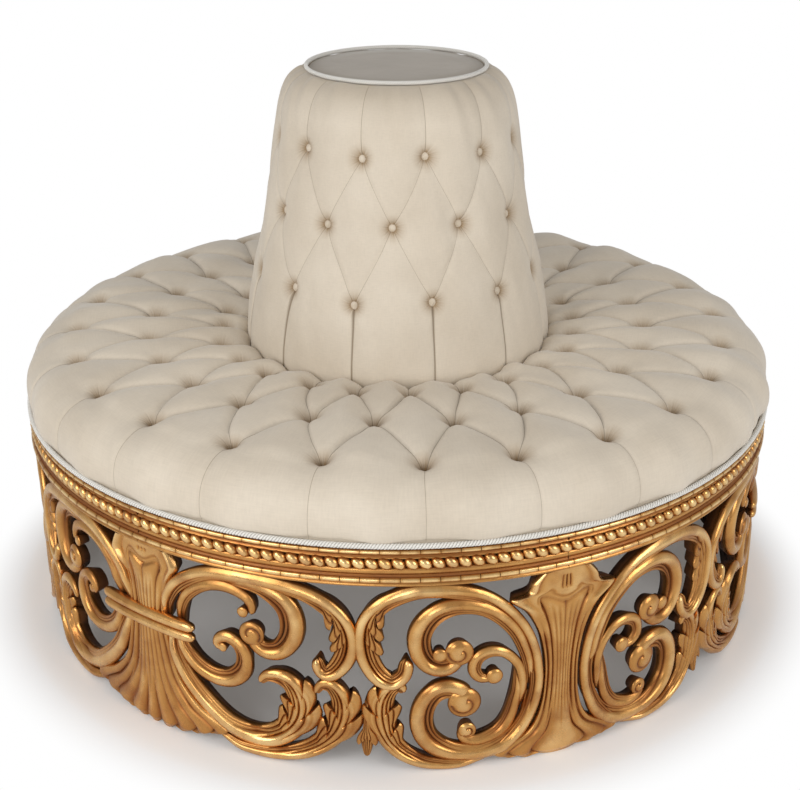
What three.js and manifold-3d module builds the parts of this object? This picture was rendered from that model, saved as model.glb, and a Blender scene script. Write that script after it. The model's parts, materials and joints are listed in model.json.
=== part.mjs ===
// A round centre sofa: a carved openwork base with a beaded rail, a deep-buttoned ring seat
// and a deep-buttoned conical back. Millimetres, +Z up, origin on the floor at the centre.
// A bearing is an angle round the centre, zero at the front (-Y) and growing towards +X.
import * as THREE from "three";
import { mergeVertices } from "three/addons/utils/BufferGeometryUtils.js";
import Module from "manifold-3d";

const wasm = await Module();
wasm.setup();

// Clearances
const gap = 0.3; // between pieces that rest on or against each other
const softGap = 1; // between the two cushions where they meet
const overrun = 5; // how far a cutting shape passes the face that it cuts

// Base ring: carved wood below, a beaded rail above
const bays = 6;
const ringRadius = 700; // to the face of the rail
const railDepth = 50;
const railHeight = 66;
const carveHeight = 351;
const carveDepth = 40;
const carveRise = 12; // of the ridges above the edges
const carveInset = 4; // of the ridges behind the rail's face
const tieProud = 5; // of the tie round the pilaster, before the ridges

// Seat frame
const deckThickness = 18;
const beamWidth = 70;
const beamHeight = 46;
const blockWidth = 90;
const blockDepth = 46;
const dustCoverThickness = 1.2;
const legWidth = 90;
const levellerRadius = 28;
const levellerHeight = 12;
const stemRadius = 6;
const stemLength = 32;

// Seat cushion
const seatTufts = 24; // in each of three rows
const seatTuftDegrees = -4.1; // bearing of one button in the outer row
const seatThickness = 113.4;
const seatOverhang = 3; // beyond the rail
const seatPit = 26;
const seatFoamThickness = 38;
const seatFoamInnerMargin = 21; // from the seat's hole
const seatFoamOuterMargin = 63; // from the seat's rim
const seatCordRadius = 5.5;
const seatCordInset = 4; // of the cord's middle behind the rail's face

// Back
const backTufts = 12; // in each of three rows
const backTuftDegrees = -9.2; // bearing of one button in the top and bottom rows
const backHeight = 590.6; // from the deck to the top edge of the cover
const backFootRadius = 284;
const backPit = 20;
const backFrameMargin = 46; // from the cover's foot to the frame's
const backTopRadius = 158;
const backFoamThickness = 20;
const backBoardThickness = 18;
const slats = 8;
const slatWidth = 60;
const slatDepth = 22;
const topPadThickness = 12;
const topPadStand = 1.8; // above the cover's top edge
const topCordRadius = 4.5;
const backBolts = 4;
const boltCircleRadius = 150;
const boltRadius = 5;
const boltHeadRadius = 10;
const boltHeadHeight = 7;
const nutHeight = 8;
const nutFlangeRadius = 15;
const nutFlangeHeight = 2.5;

// Levels and radii that follow from the sizes above
const bayAngle = (2 * Math.PI) / bays;
const ridgeRadius = ringRadius - carveInset;
const edgeRadius = ridgeRadius - carveRise;
const carveBackRadius = ridgeRadius - carveDepth;
const railInnerRadius = ringRadius - railDepth;
const railBottom = carveHeight + gap;
const deckTop = railBottom + railHeight;
const deckBottom = deckTop - deckThickness;
const beamTop = deckBottom - gap;
const beamBottom = beamTop - beamHeight;
const softBottom = deckTop + gap;
const seatOuterRadius = ringRadius + seatOverhang;
const seatInnerRadius = backFootRadius + softGap;
const seatFoamInnerRadius = seatInnerRadius + seatFoamInnerMargin;
const seatFoamOuterRadius = seatOuterRadius - seatFoamOuterMargin;
const seatCordRing = ringRadius - seatCordInset;
const backFrameRadius = backFootRadius - backFrameMargin;
const backTop = softBottom + backHeight;
const topPadTop = backTop + topPadStand;
const topBoardTop = topPadTop - topPadThickness - gap;
const topBoardBottom = topBoardTop - backBoardThickness;
const baseBoardTop = softBottom + backBoardThickness;

// Round pieces that meet the rail have its flats: they turn with it, vertex to vertex.
const railSteps = 6;
const ringSides = bays * railSteps;
const flatness = Math.cos(Math.PI / ringSides); // of a flat's middle, as a share of its corners' radius
const frameRadius = railInnerRadius - gap; // corners of what fits inside the rail
const frameReach = railInnerRadius * flatness - gap; // circle that clears the rail's flats

const sofa = new THREE.Group();

const gold = () => finish(0xb98a45, 0.36, 0.85);
const timber = () => finish(0xb58f62, 0.7, 0);
const plywood = () => finish(0xc9a878, 0.75, 0);
const fabric = () => finish(0xd8ccbb, 0.8, 0);
const cordYarn = () => finish(0xe6e0d4, 0.6, 0);
const foam = () => finish(0xe9dfae, 0.9, 0);
const steel = () => finish(0x9a9c9f, 0.35, 1);
const cambric = () => finish(0x2a2a2c, 0.95, 0);

function finish(color, roughness, metalness) {
  return new THREE.MeshStandardMaterial({ color, roughness, metalness });
}

// Adds a named piece, turned to a bearing round the centre.
function addPiece(name, geometry, material, bearing = 0) {
  const mesh = new THREE.Mesh(geometry, material);
  mesh.name = name;
  mesh.rotation.z = bearing;
  sofa.add(mesh);
}

// Point makers and small sums

function polar(bearing, radius, height) {
  return [radius * Math.sin(bearing), -radius * Math.cos(bearing), height];
}

// A share of the way from one value to another.
const between = (from, to, share) => THREE.MathUtils.lerp(from, to, share);

// How far out a flat end of this width can sit inside a circle.
function endReach(width, radius) {
  return Math.sqrt(radius ** 2 - (width / 2) ** 2);
}

// Solids from points

function volumeOf(positions, index) {
  const [a, b, c] = [new THREE.Vector3(), new THREE.Vector3(), new THREE.Vector3()];
  let volume = 0;
  for (let i = 0; i < index.length; i += 3) {
    a.fromArray(positions, 3 * index[i]);
    b.fromArray(positions, 3 * index[i + 1]);
    c.fromArray(positions, 3 * index[i + 2]);
    volume += a.dot(b.cross(c)) / 6;
  }
  return volume;
}

// A geometry whose faces point out, whichever way its triangles were wound.
function outward(positions, index) {
  if (volumeOf(positions, index) < 0) index.reverse();
  const geometry = new THREE.BufferGeometry();
  geometry.setAttribute("position", new THREE.Float32BufferAttribute(positions, 3));
  geometry.setIndex(index);
  return geometry;
}

// Shared vertices are merged, triangles that closed up on an axis dropped, and positions kept.
function bare(geometry) {
  const plain = new THREE.BufferGeometry();
  plain.setAttribute("position", geometry.getAttribute("position"));
  plain.setIndex(geometry.index);
  const merged = mergeVertices(plain);
  const index = [];
  for (let i = 0; i < merged.index.count; i += 3) {
    const corners = Array.from(merged.index.array.slice(i, i + 3));
    if (new Set(corners).size === corners.length) index.push(...corners);
  }
  return outward(Array.from(merged.getAttribute("position").array), index);
}

function toSolid(geometry) {
  const { array } = geometry.getAttribute("position");
  const mesh = new wasm.Mesh({
    numProp: 3,
    vertProperties: new Float32Array(array),
    triVerts: new Uint32Array(geometry.index.array),
  });
  return new wasm.Manifold(mesh);
}

function toGeometry(solid) {
  const mesh = solid.getMesh();
  return outward(Array.from(mesh.vertProperties), Array.from(mesh.triVerts));
}

const joined = (solids) => solids.reduce((whole, part) => whole.add(part));
const cutBy = (solid, cutters) => cutters.reduce((rest, cutter) => rest.subtract(cutter), solid);

// A skin over sections that hold alike numbers of points, capped at both ends.
function loft(sections) {
  const count = sections[0].length;
  const end = (sections.length - 1) * count;
  const index = [];
  for (let s = 0; s < end; s += count) {
    for (let p = 0; p < count; p++) {
      const q = (p + 1) % count;
      index.push(s + p, s + q, s + count + q);
      index.push(s + p, s + count + q, s + count + p);
    }
  }
  for (let p = 1; p < count - 1; p++) {
    index.push(0, p + 1, p);
    index.push(end, end + p, end + p + 1);
  }
  return outward(sections.flat(2), index);
}

// A turned solid. Its profile of [radius, height] points closes on itself.
function ring(profile, segments) {
  const points = [...profile, profile[0]].map(([radius, height]) => new THREE.Vector2(radius, height));
  const geometry = new THREE.LatheGeometry(points, segments);
  geometry.rotateX(Math.PI / 2);
  return bare(geometry);
}

// A turned solid whose profile starts and ends on the axis.
function turned(profile, segments) {
  const points = profile.map(([radius, height]) => new THREE.Vector2(radius, height));
  const geometry = new THREE.LatheGeometry(points, segments);
  geometry.rotateX(Math.PI / 2);
  return bare(geometry);
}

const disc = (radius, bottom, top, segments = ringSides) =>
  turned([[0, bottom], [radius, bottom], [radius, top], [0, top]], segments);

// An upright bar with flat sides, such as a shank, a hexagon head or a bore.
function bar(radius, bottom, top, sides, [x, y] = [0, 0]) {
  const geometry = disc(radius, bottom, top, sides);
  geometry.translate(x, y, 0);
  return geometry;
}

function block(width, depth, bottom, top, [x, y] = [0, 0]) {
  const geometry = new THREE.BoxGeometry(width, depth, top - bottom);
  geometry.translate(x, y, (bottom + top) / 2);
  return bare(geometry);
}

// Carved work
//
// Half of each bay belongs to its plain pilaster, half to its tied one. Places are shares: of the
// half bay, counted from the pilaster, and of the carving's height. Widths are shares of that height.

const plainHalfBayShare = 0.466;
const ridgeWidthShare = 0.6;
const backLevelShare = 0.4; // of a stroke's level that its back stands in too
const plainHalfAngle = bayAngle * plainHalfBayShare;
const tiedHalfAngle = bayAngle - plainHalfAngle;

// A hand is 1 for a bay that runs on from its plain pilaster with the bearing, -1 for one that runs back.
const onPlainSide = (hand) => ([along, up]) => [hand * along * plainHalfAngle, up * carveHeight];
const onTiedSide = (hand) => ([along, up]) => [hand * (bayAngle - along * tiedHalfAngle), up * carveHeight];

// Level: how far a stroke's ridge lies behind the highest ones, as a share of the carving's rise.
const plainStrokesShare = {
  outerScroll: {
    level: 0,
    path: [[0.85, 0.555], [0.93, 0.6], [0.975, 0.7], [0.95, 0.82], [0.85, 0.92], [0.69, 0.965],
      [0.52, 0.955], [0.38, 0.89], [0.27, 0.765], [0.2, 0.6], [0.18, 0.44], [0.22, 0.26],
      [0.32, 0.12], [0.46, 0.065], [0.6, 0.07], [0.71, 0.15], [0.745, 0.27], [0.7, 0.4],
      [0.6, 0.45], [0.515, 0.415], [0.49, 0.33]],
    width: [0.045, 0.09, 0.1, 0.085, 0.085, 0.09, 0.12, 0.13, 0.13, 0.12, 0.1, 0.08, 0.09, 0.1, 0.08, 0.05],
  },
  upperScroll: {
    level: 0.25,
    path: [[0.3, 0.79], [0.42, 0.86], [0.55, 0.875], [0.66, 0.83], [0.72, 0.74], [0.7, 0.64],
      [0.64, 0.585], [0.58, 0.59]],
    width: [0.04, 0.06, 0.07, 0.1, 0.08, 0.05],
  },
  smallScroll: {
    level: 0.4,
    path: [[0.23, 0.6], [0.31, 0.63], [0.39, 0.62], [0.445, 0.57], [0.44, 0.5]],
    width: [0.05, 0.06, 0.07, 0.06],
  },
  footLeaf: {
    level: 0.15,
    path: [[0.44, 0.02], [0.56, 0.015], [0.68, 0.04], [0.79, 0.11], [0.86, 0.21], [0.88, 0.33], [0.84, 0.43]],
    width: [0.05, 0.05, 0.07, 0.11, 0.12, 0.07],
  },
  leafTip: { level: 0.3, path: [[0.86, 0.2], [0.94, 0.28], [1, 0.37]], width: [0.08, 0.06, 0.05] },
};

const tiedStrokesShare = {
  crownScroll: {
    level: 0,
    path: [[0.14, 0.64], [0.17, 0.77], [0.26, 0.88], [0.39, 0.945], [0.54, 0.965], [0.7, 0.95],
      [0.82, 0.9], [0.92, 0.81], [0.965, 0.71], [0.94, 0.61], [0.87, 0.55]],
    width: [0.12, 0.14, 0.14, 0.11, 0.08, 0.075, 0.08, 0.09, 0.09, 0.045],
  },
  ballScroll: {
    level: 0.15,
    path: [[0.55, 0.935], [0.65, 0.905], [0.72, 0.84], [0.745, 0.73], [0.7, 0.63], [0.6, 0.6]],
    width: [0.05, 0.08, 0.11, 0.1, 0.06],
  },
  innerScroll: {
    level: 0.4,
    path: [[0.3, 0.86], [0.42, 0.875], [0.52, 0.85], [0.555, 0.78]],
    width: [0.05, 0.06, 0.045],
  },
  snailScroll: {
    level: 0.25,
    path: [[0.19, 0.61], [0.205, 0.49], [0.26, 0.41], [0.35, 0.375], [0.44, 0.395], [0.51, 0.46],
      [0.52, 0.54], [0.47, 0.6], [0.41, 0.61]],
    width: [0.06, 0.08, 0.08, 0.08, 0.07, 0.04],
  },
  sweepScroll: {
    level: 0,
    path: [[0.13, 0.58], [0.165, 0.42], [0.25, 0.275], [0.36, 0.165], [0.48, 0.112], [0.6, 0.115],
      [0.69, 0.175], [0.735, 0.275], [0.72, 0.38], [0.66, 0.445], [0.59, 0.45]],
    width: [0.07, 0.1, 0.11, 0.11, 0.12, 0.12, 0.05],
  },
  footScroll: {
    level: 0.15,
    path: [[0.36, 0.07], [0.46, 0.035], [0.58, 0.03], [0.7, 0.04], [0.8, 0.09], [0.88, 0.17],
      [0.93, 0.28], [0.935, 0.38], [0.89, 0.445], [0.83, 0.44]],
    width: [0.06, 0.07, 0.07, 0.08, 0.11, 0.1, 0.04],
  },
  sweepTip: { level: 0.35, path: [[0.73, 0.2], [0.86, 0.32]], width: [0.05, 0.02] },
  footTip: { level: 0.4, path: [[0.92, 0.2], [0.98, 0.3], [1, 0.42]], width: [0.08, 0.07, 0.03] },
  bud: { level: 0.55, path: [[1, 0.35], [1, 0.22], [1, 0.12]], width: [0.1, 0.03, 0.06] },
};

// Bosses at the eyes of the scrolls: along, up, radius.
const plainBossesShare = [[0.55, 0.64, 0.06], [0.505, 0.31, 0.055]];
const tiedBossesShare = [[0.57, 0.66, 0.06], [0.405, 0.58, 0.045]];

// Pilasters, from the foot up: level, and half-width as a share of the half bay.
const plainOutlineShare = [
  [0, 0.3], [0.04, 0.36], [0.07, 0.27], [0.14, 0.17], [0.25, 0.11], [0.45, 0.085],
  [0.6, 0.105], [0.72, 0.15], [0.81, 0.22], [0.875, 0.27], [0.91, 0.18], [1, 0.13],
];
const tiedOutlineShare = [
  [0, 0.38], [0.04, 0.42], [0.08, 0.36], [0.17, 0.26], [0.3, 0.16], [0.45, 0.1],
  [0.6, 0.09], [0.78, 0.12], [0.88, 0.18], [0.93, 0.15], [1, 0.14],
];
const tieOutlineShare = [[0.55, 0.24], [0.655, 0.24]];

// A share of the way along a list of values.
function sampled(values, share) {
  const place = share * (values.length - 1);
  const before = Math.min(Math.floor(place), values.length - 2);
  return between(values[before], values[before + 1], place - before);
}

// A carved stroke: a ribbon with sloping flanks, along its path on the carving's cylinder.
function stroke({ path, width, level }, place) {
  const flat = path.map(place).map(([bearing, height]) => new THREE.Vector3(bearing * ridgeRadius, height, 0));
  const curve = new THREE.CatmullRomCurve3(flat);
  const back = carveBackRadius + level * backLevelShare * carveRise;
  const ridge = ridgeRadius - level * carveRise;
  const sections = [];
  for (let s = 0; s < path.length; s++) {
    const share = s / (path.length - 1);
    const centre = curve.getPoint(share);
    const along = curve.getTangent(share);
    const across = new THREE.Vector3(-along.y, along.x, 0);
    const half = (sampled(width, share) * carveHeight) / 2;
    const corner = (reach, radius) => {
      const at = centre.clone().addScaledVector(across, reach);
      return polar(at.x / ridgeRadius, radius, at.y);
    };
    const inner = half * ridgeWidthShare;
    sections.push([corner(-half, back), corner(half, back), corner(inner, ridge), corner(-inner, ridge)]);
  }
  return toSolid(loft(sections));
}

// A round boss with a sloping rim, its face a little behind the ridges.
const bossSides = 7;
const bossLevelShare = 0.6;

function boss([along, up, size], place) {
  const [bearing, height] = place([along, up]);
  const round = (reach, depth) =>
    Array.from({ length: bossSides }, (_, side) => {
      const turn = (2 * Math.PI * side) / bossSides;
      return polar(bearing + (reach * Math.cos(turn)) / ridgeRadius, depth, height + reach * Math.sin(turn));
    });
  const face = ridgeRadius - bossLevelShare * carveRise;
  const back = carveBackRadius + bossLevelShare * backLevelShare * carveRise;
  return toSolid(loft([round(size * carveHeight, back), round(size * carveHeight * ridgeWidthShare, face)]));
}

// A pilaster from floor to rail. Grown, it is the shape that cuts the pilaster's place out of a panel.
const pilasterAcrossShares = [-1, -0.55, 0, 0.55, 1];

function pilaster(outline, halfAngle, { centre = 0, stand = 0, grown = false } = {}) {
  const back = grown ? carveBackRadius - overrun : carveBackRadius;
  const edge = edgeRadius + stand + (grown ? overrun : 0);
  const sections = outline.map(([level, halfWidth], i) => {
    const reach = halfWidth * halfAngle + (grown ? gap / edgeRadius : 0);
    let height = level * carveHeight;
    if (grown && i === 0) height -= gap;
    if (grown && i === outline.length - 1) height += gap;
    const face = pilasterAcrossShares.map((share) =>
      polar(centre + share * reach, edge + (1 - Math.abs(share)) * carveRise, height));
    return [...face, polar(centre + reach, back, height), polar(centre - reach, back, height)];
  });
  return toSolid(loft(sections));
}

const plainPilaster = (options) => pilaster(plainOutlineShare, plainHalfAngle, options);
const tiedPilaster = (options) =>
  pilaster(tiedOutlineShare, tiedHalfAngle, options)
    .add(pilaster(tieOutlineShare, tiedHalfAngle, { ...options, stand: tieProud }));

// The openwork of one bay, from its plain pilaster at bearing zero to its tied one a bay away.
function scrollPanel(hand) {
  const carving = joined([
    ...Object.values(plainStrokesShare).map((shape) => stroke(shape, onPlainSide(hand))),
    ...Object.values(tiedStrokesShare).map((shape) => stroke(shape, onTiedSide(hand))),
    ...plainBossesShare.map((shape) => boss(shape, onPlainSide(hand))),
    ...tiedBossesShare.map((shape) => boss(shape, onTiedSide(hand))),
  ]);
  const back = carveBackRadius - overrun;
  const front = ringRadius + overrun;
  const wall = toSolid(ring([[back, 0], [front, 0], [front, carveHeight], [back, carveHeight]], ringSides));
  return cutBy(carving.intersect(wall), [
    plainPilaster({ grown: true }),
    tiedPilaster({ centre: hand * bayAngle, grown: true }),
  ]);
}

function addCarvedBase() {
  const plain = toGeometry(plainPilaster());
  const tied = toGeometry(tiedPilaster());
  const onward = toGeometry(scrollPanel(1));
  const backward = toGeometry(scrollPanel(-1));
  for (let pair = 0; pair < bays / 2; pair++) {
    const bearing = 2 * pair * bayAngle;
    addPiece(`plain_pilaster_${pair + 1}`, plain, gold(), bearing);
    addPiece(`tied_pilaster_${pair + 1}`, tied, gold(), bearing + bayAngle);
    addPiece(`scroll_panel_${2 * pair + 1}`, onward, gold(), bearing);
    addPiece(`scroll_panel_${2 * pair + 2}`, backward, gold(), bearing + 2 * bayAngle);
  }
}

// Beaded rail, in segments that meet over the pilasters. Its outline runs from the inner foot
// out, up and back: shares of the rail's depth and height.
const railOutlineShare = [
  [0, 0], [0.9, 0], [1, 0.06], [1, 0.22], [0.82, 0.28], [0.82, 0.47],
  [0.96, 0.59], [0.82, 0.71], [0.92, 0.86], [1, 0.94], [1, 1], [0, 1],
];

function addRail() {
  const outline = railOutlineShare.map(([out, up]) => [
    between(railInnerRadius, ringRadius, out),
    between(railBottom, deckTop, up),
  ]);
  const joint = gap / 2 / ringRadius;
  const sections = [];
  for (let s = 0; s <= railSteps; s++) {
    const bearing = between(joint, bayAngle - joint, s / railSteps);
    sections.push(outline.map(([radius, height]) => polar(bearing, radius, height)));
  }
  const segment = loft(sections);
  for (let i = 0; i < bays; i++) addPiece(`rail_segment_${i + 1}`, segment, gold(), i * bayAngle);
}

// Seat frame: deck, crossed beams, corner blocks, centre leg and dust cover

const boltPlaces = Array.from({ length: backBolts }, (_, i) => {
  const [x, y] = polar(((2 * i + 1) * Math.PI) / backBolts, boltCircleRadius, 0);
  return [x, y];
});
const boltSides = 8;
const boltHoles = (bottom, top) =>
  boltPlaces.map((place) => toSolid(bar(boltRadius + gap, bottom - overrun, top + overrun, boltSides, place)));

function addDeck() {
  const board = toSolid(disc(frameRadius, deckBottom, deckTop));
  addPiece("seat_deck", toGeometry(cutBy(board, boltHoles(deckBottom, deckTop))), plywood());
}

// Two beams cross under the deck and are halved into each other.
function addBeams() {
  const length = 2 * endReach(beamWidth, frameReach);
  const middle = (beamTop + beamBottom) / 2;
  const notch = beamWidth + 2 * gap;
  const along = toSolid(block(length, beamWidth, beamBottom, beamTop));
  const across = toSolid(block(beamWidth, length, beamBottom, beamTop));
  const upperHalf = toSolid(block(notch, notch, middle, beamTop + overrun));
  const lowerHalf = toSolid(block(notch, notch, beamBottom - overrun, middle + gap));
  addPiece("beam_side_to_side", toGeometry(along.subtract(upperHalf)), timber());
  addPiece("beam_front_to_back", toGeometry(across.subtract(lowerHalf)), timber());
}

// Blocks back the rail's joints that have no beam end behind them.
function addCornerBlocks() {
  const middle = endReach(blockWidth, frameReach) - blockDepth / 2;
  const corner = block(blockWidth, blockDepth, beamBottom, beamTop, [0, -middle]);
  const joints = Array.from({ length: bays }, (_, i) => i).filter((i) => i % (bays / 2) !== 0);
  joints.forEach((joint, i) => addPiece(`corner_block_${i + 1}`, corner, timber(), joint * bayAngle));
}

const legBottom = levellerHeight + gap;
const stemTop = legBottom + stemLength;
const stemSides = 12;

function addCentreLeg() {
  const post = toSolid(block(legWidth, legWidth, legBottom, beamBottom - gap));
  const socket = toSolid(bar(stemRadius + gap, legBottom - overrun, stemTop + gap, stemSides));
  addPiece("centre_leg", toGeometry(post.subtract(socket)), timber());
  const collarRadius = (levellerRadius + stemRadius) / 2;
  const leveller = [
    [0, 0], [levellerRadius, 0], [levellerRadius, levellerHeight / 2], [collarRadius, levellerHeight],
    [stemRadius, levellerHeight], [stemRadius, stemTop], [0, stemTop],
  ];
  addPiece("leg_leveller", turned(leveller, stemSides), steel());
}

function addDustCover() {
  const top = beamBottom - gap;
  const sheet = toSolid(disc(frameRadius, top - dustCoverThickness, top));
  const slot = toSolid(block(legWidth + 2 * gap, legWidth + 2 * gap, top - overrun, top + overrun));
  addPiece("dust_cover", toGeometry(sheet.subtract(slot)), cambric());
}

// Buttoned cushions
//
// A cushion's rows run from its outer foot over the top. A row has a radius, a height, a pattern
// and the direction in which its buttons and folds sink. Four columns go to a button: patterns say
// how deep each column sinks, as a share of the pit. Buttons of alternate rows lie half way along.

const columnsPerTuft = 4;
const patternShare = {
  plain: [0, 0, 0, 0],
  button: [1, 0.3, 0, 0.3],
  offsetButton: [0, 0.3, 1, 0.3],
  fold: [0.22, 0.42, 0.22, 0.42],
  pleat: [0.3, 0.06, 0, 0.06],
};

// A closed ring cushion. A quad folds along its deeper diagonal, so that folds run on as creases.
function buttoned({ rows, tufts, startDegrees, pit }) {
  const columns = tufts * columnsPerTuft;
  const start = THREE.MathUtils.degToRad(startDegrees);
  const positions = [];
  const sinks = [];
  for (const { radius, height, inward = 0, down = 0, pattern = "plain" } of rows) {
    for (let c = 0; c < columns; c++) {
      const sink = patternShare[pattern][c % columnsPerTuft];
      const bearing = start + (2 * Math.PI * c) / columns;
      positions.push(...polar(bearing, radius - sink * pit * inward, height - sink * pit * down));
      sinks.push(sink);
    }
  }
  const index = [];
  for (let r = 0; r < rows.length; r++) {
    for (let c = 0; c < columns; c++) {
      const nextRow = ((r + 1) % rows.length) * columns;
      const nextColumn = (c + 1) % columns;
      const [a, b, d, e] = [r * columns + c, r * columns + nextColumn, nextRow + nextColumn, nextRow + c];
      if (sinks[a] + sinks[d] >= sinks[b] + sinks[e]) index.push(a, b, d, a, d, e);
      else index.push(a, b, e, b, d, e);
    }
  }
  return outward(positions, index);
}

// How far the seat's shoulder sinks, inwards and down alike, as a share of its pleats' depth.
const shoulderSinkShare = 0.7;

// Shares across the seat, from its hole to its rim, and up its thickness.
const seatRowsShare = {
  side: [1, 0.22],
  shoulder: [0.955, 0.61],
  outerButtons: [0.777, 1],
  outerFold: [0.609, 0.995],
  middleButtons: [0.43, 0.985],
  innerFold: [0.275, 0.975],
  innerButtons: [0.12, 0.96],
  brim: [0, 0.87],
};

function addSeatCushion() {
  const at = ([across, up]) => ({
    radius: between(seatInnerRadius, seatOuterRadius, across),
    height: softBottom + up * seatThickness,
  });
  const footRadius = seatCordRing * flatness - seatCordRadius - gap;
  const cordTop = softBottom + 2 * seatCordRadius;
  const rows = [
    { radius: footRadius, height: softBottom },
    { radius: footRadius, height: cordTop + gap },
    { ...at(seatRowsShare.side), inward: 1, pattern: "pleat" },
    { ...at(seatRowsShare.shoulder), inward: shoulderSinkShare, down: shoulderSinkShare, pattern: "pleat" },
    { ...at(seatRowsShare.outerButtons), down: 1, pattern: "button" },
    { ...at(seatRowsShare.outerFold), down: 1, pattern: "fold" },
    { ...at(seatRowsShare.middleButtons), down: 1, pattern: "offsetButton" },
    { ...at(seatRowsShare.innerFold), down: 1, pattern: "fold" },
    { ...at(seatRowsShare.innerButtons), down: 1, pattern: "button" },
    { ...at(seatRowsShare.brim), down: 1, pattern: "pleat" },
    { radius: seatInnerRadius, height: softBottom },
  ];
  const cushion = buttoned({ rows, tufts: seatTufts, startDegrees: seatTuftDegrees, pit: seatPit });
  const core = foamRing(gap, overrun);
  addPiece("seat_cushion", toGeometry(toSolid(cushion).subtract(toSolid(core))), fabric());
  addPiece("seat_foam", foamRing(0, 0), foam());
}

// The foam core of the seat, or, grown, the room for it under the cushion.
function foamRing(grown, below) {
  const inner = seatFoamInnerRadius - grown;
  const outer = seatFoamOuterRadius + grown;
  const bottom = softBottom - below;
  const top = softBottom + seatFoamThickness + grown;
  return ring([[inner, bottom], [outer, bottom], [outer, top], [inner, top]], ringSides);
}

// A round cord laid in a ring.
const cordSides = 6;

function cordRing(radius, middle, cordRadius, segments) {
  const section = Array.from({ length: cordSides }, (_, side) => {
    const turn = (2 * Math.PI * (side + 1 / 2)) / cordSides;
    return [radius + cordRadius * Math.cos(turn), middle + cordRadius * Math.sin(turn)];
  });
  return ring(section, segments);
}

function addSeatCord() {
  const middle = softBottom + seatCordRadius;
  addPiece("seat_trim_cord", cordRing(seatCordRing, middle, seatCordRadius, ringSides), cordYarn());
}

// Back: a padded frame of slats between two boards, under a buttoned cover

const coneSides = backTufts * columnsPerTuft;

// Shares out from the top opening to the foot, and up the back.
const backRowsShare = {
  waist: [1, 0.178],
  lowButtons: [0.837, 0.4],
  lowFold: [0.737, 0.505],
  middleButtons: [0.654, 0.61],
  highFold: [0.59, 0.708],
  highButtons: [0.519, 0.808],
  neck: [0.467, 0.885],
  shoulder: [0.371, 0.944],
  turn: [0.252, 0.981],
  edge: [0.077, 1],
};

function addBackCover() {
  const opening = backTopRadius + gap;
  const at = ([out, up]) => ({
    radius: between(opening, backFootRadius, out),
    height: softBottom + up * backHeight,
    inward: 1,
  });
  const wall = backFoamThickness + gap;
  const rows = [
    { radius: backFootRadius, height: softBottom },
    { ...at(backRowsShare.waist), pattern: "pleat" },
    { ...at(backRowsShare.lowButtons), pattern: "button" },
    { ...at(backRowsShare.lowFold), pattern: "fold" },
    { ...at(backRowsShare.middleButtons), pattern: "offsetButton" },
    { ...at(backRowsShare.highFold), pattern: "fold" },
    { ...at(backRowsShare.highButtons), pattern: "button" },
    { ...at(backRowsShare.neck), pattern: "pleat" },
    { ...at(backRowsShare.shoulder), pattern: "pleat" },
    { ...at(backRowsShare.turn) },
    { ...at(backRowsShare.edge) },
    { radius: opening, height: backTop },
    { radius: opening, height: topBoardBottom + gap },
    { radius: opening + wall, height: topBoardBottom + gap },
    { radius: backFrameRadius + gap + wall, height: softBottom },
  ];
  const cover = buttoned({ rows, tufts: backTufts, startDegrees: backTuftDegrees, pit: backPit });
  addPiece("back_cover", cover, fabric());
  const foot = backFrameRadius + gap;
  const profile = [
    [foot, softBottom], [foot + backFoamThickness, softBottom],
    [opening + backFoamThickness, topBoardBottom], [opening, topBoardBottom], [foot, baseBoardTop],
  ];
  const start = THREE.MathUtils.degToRad(backTuftDegrees);
  addPiece("back_foam", ring(profile, coneSides), foam(), start);
}

function addBackBoards() {
  const start = THREE.MathUtils.degToRad(backTuftDegrees);
  const board = toSolid(disc(backFrameRadius, softBottom, baseBoardTop, coneSides));
  const unturned = boltPlaces.map(([x, y]) => new THREE.Vector2(x, y).rotateAround(new THREE.Vector2(), -start));
  const holes = unturned.map(({ x, y }) =>
    toSolid(bar(boltRadius + gap, softBottom - overrun, baseBoardTop + overrun, boltSides, [x, y])));
  addPiece("back_base_board", toGeometry(cutBy(board, holes)), plywood(), start);
  addPiece("back_top_board", disc(backTopRadius, topBoardBottom, topBoardTop, coneSides), plywood(), start);
  addPiece("back_top_pad", disc(backTopRadius, topBoardTop + gap, topPadTop, coneSides), fabric(), start);
}

// Slats lean in from the base board to the top board, against the foam.
function addSlats() {
  const coneFlatness = Math.cos(Math.PI / coneSides);
  const bottom = baseBoardTop + gap;
  const top = topBoardBottom - gap;
  const section = (height) => {
    const share = (height - baseBoardTop) / (topBoardBottom - baseBoardTop);
    const inside = between(backFrameRadius, backTopRadius, share) * coneFlatness;
    const face = endReach(slatWidth, inside);
    const [left, right] = [-slatWidth / 2, slatWidth / 2];
    return [[left, -face, height], [right, -face, height],
      [right, slatDepth - face, height], [left, slatDepth - face, height]];
  };
  const slat = loft([section(bottom), section(top)]);
  for (let i = 0; i < slats; i++) addPiece(`back_slat_${i + 1}`, slat, timber(), (2 * Math.PI * i) / slats);
}

function addTopCord() {
  const radius = backTopRadius + gap + topCordRadius;
  const middle = backTop + gap + topCordRadius;
  addPiece("back_trim_cord", cordRing(radius, middle, topCordRadius, ringSides), cordYarn());
}

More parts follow.
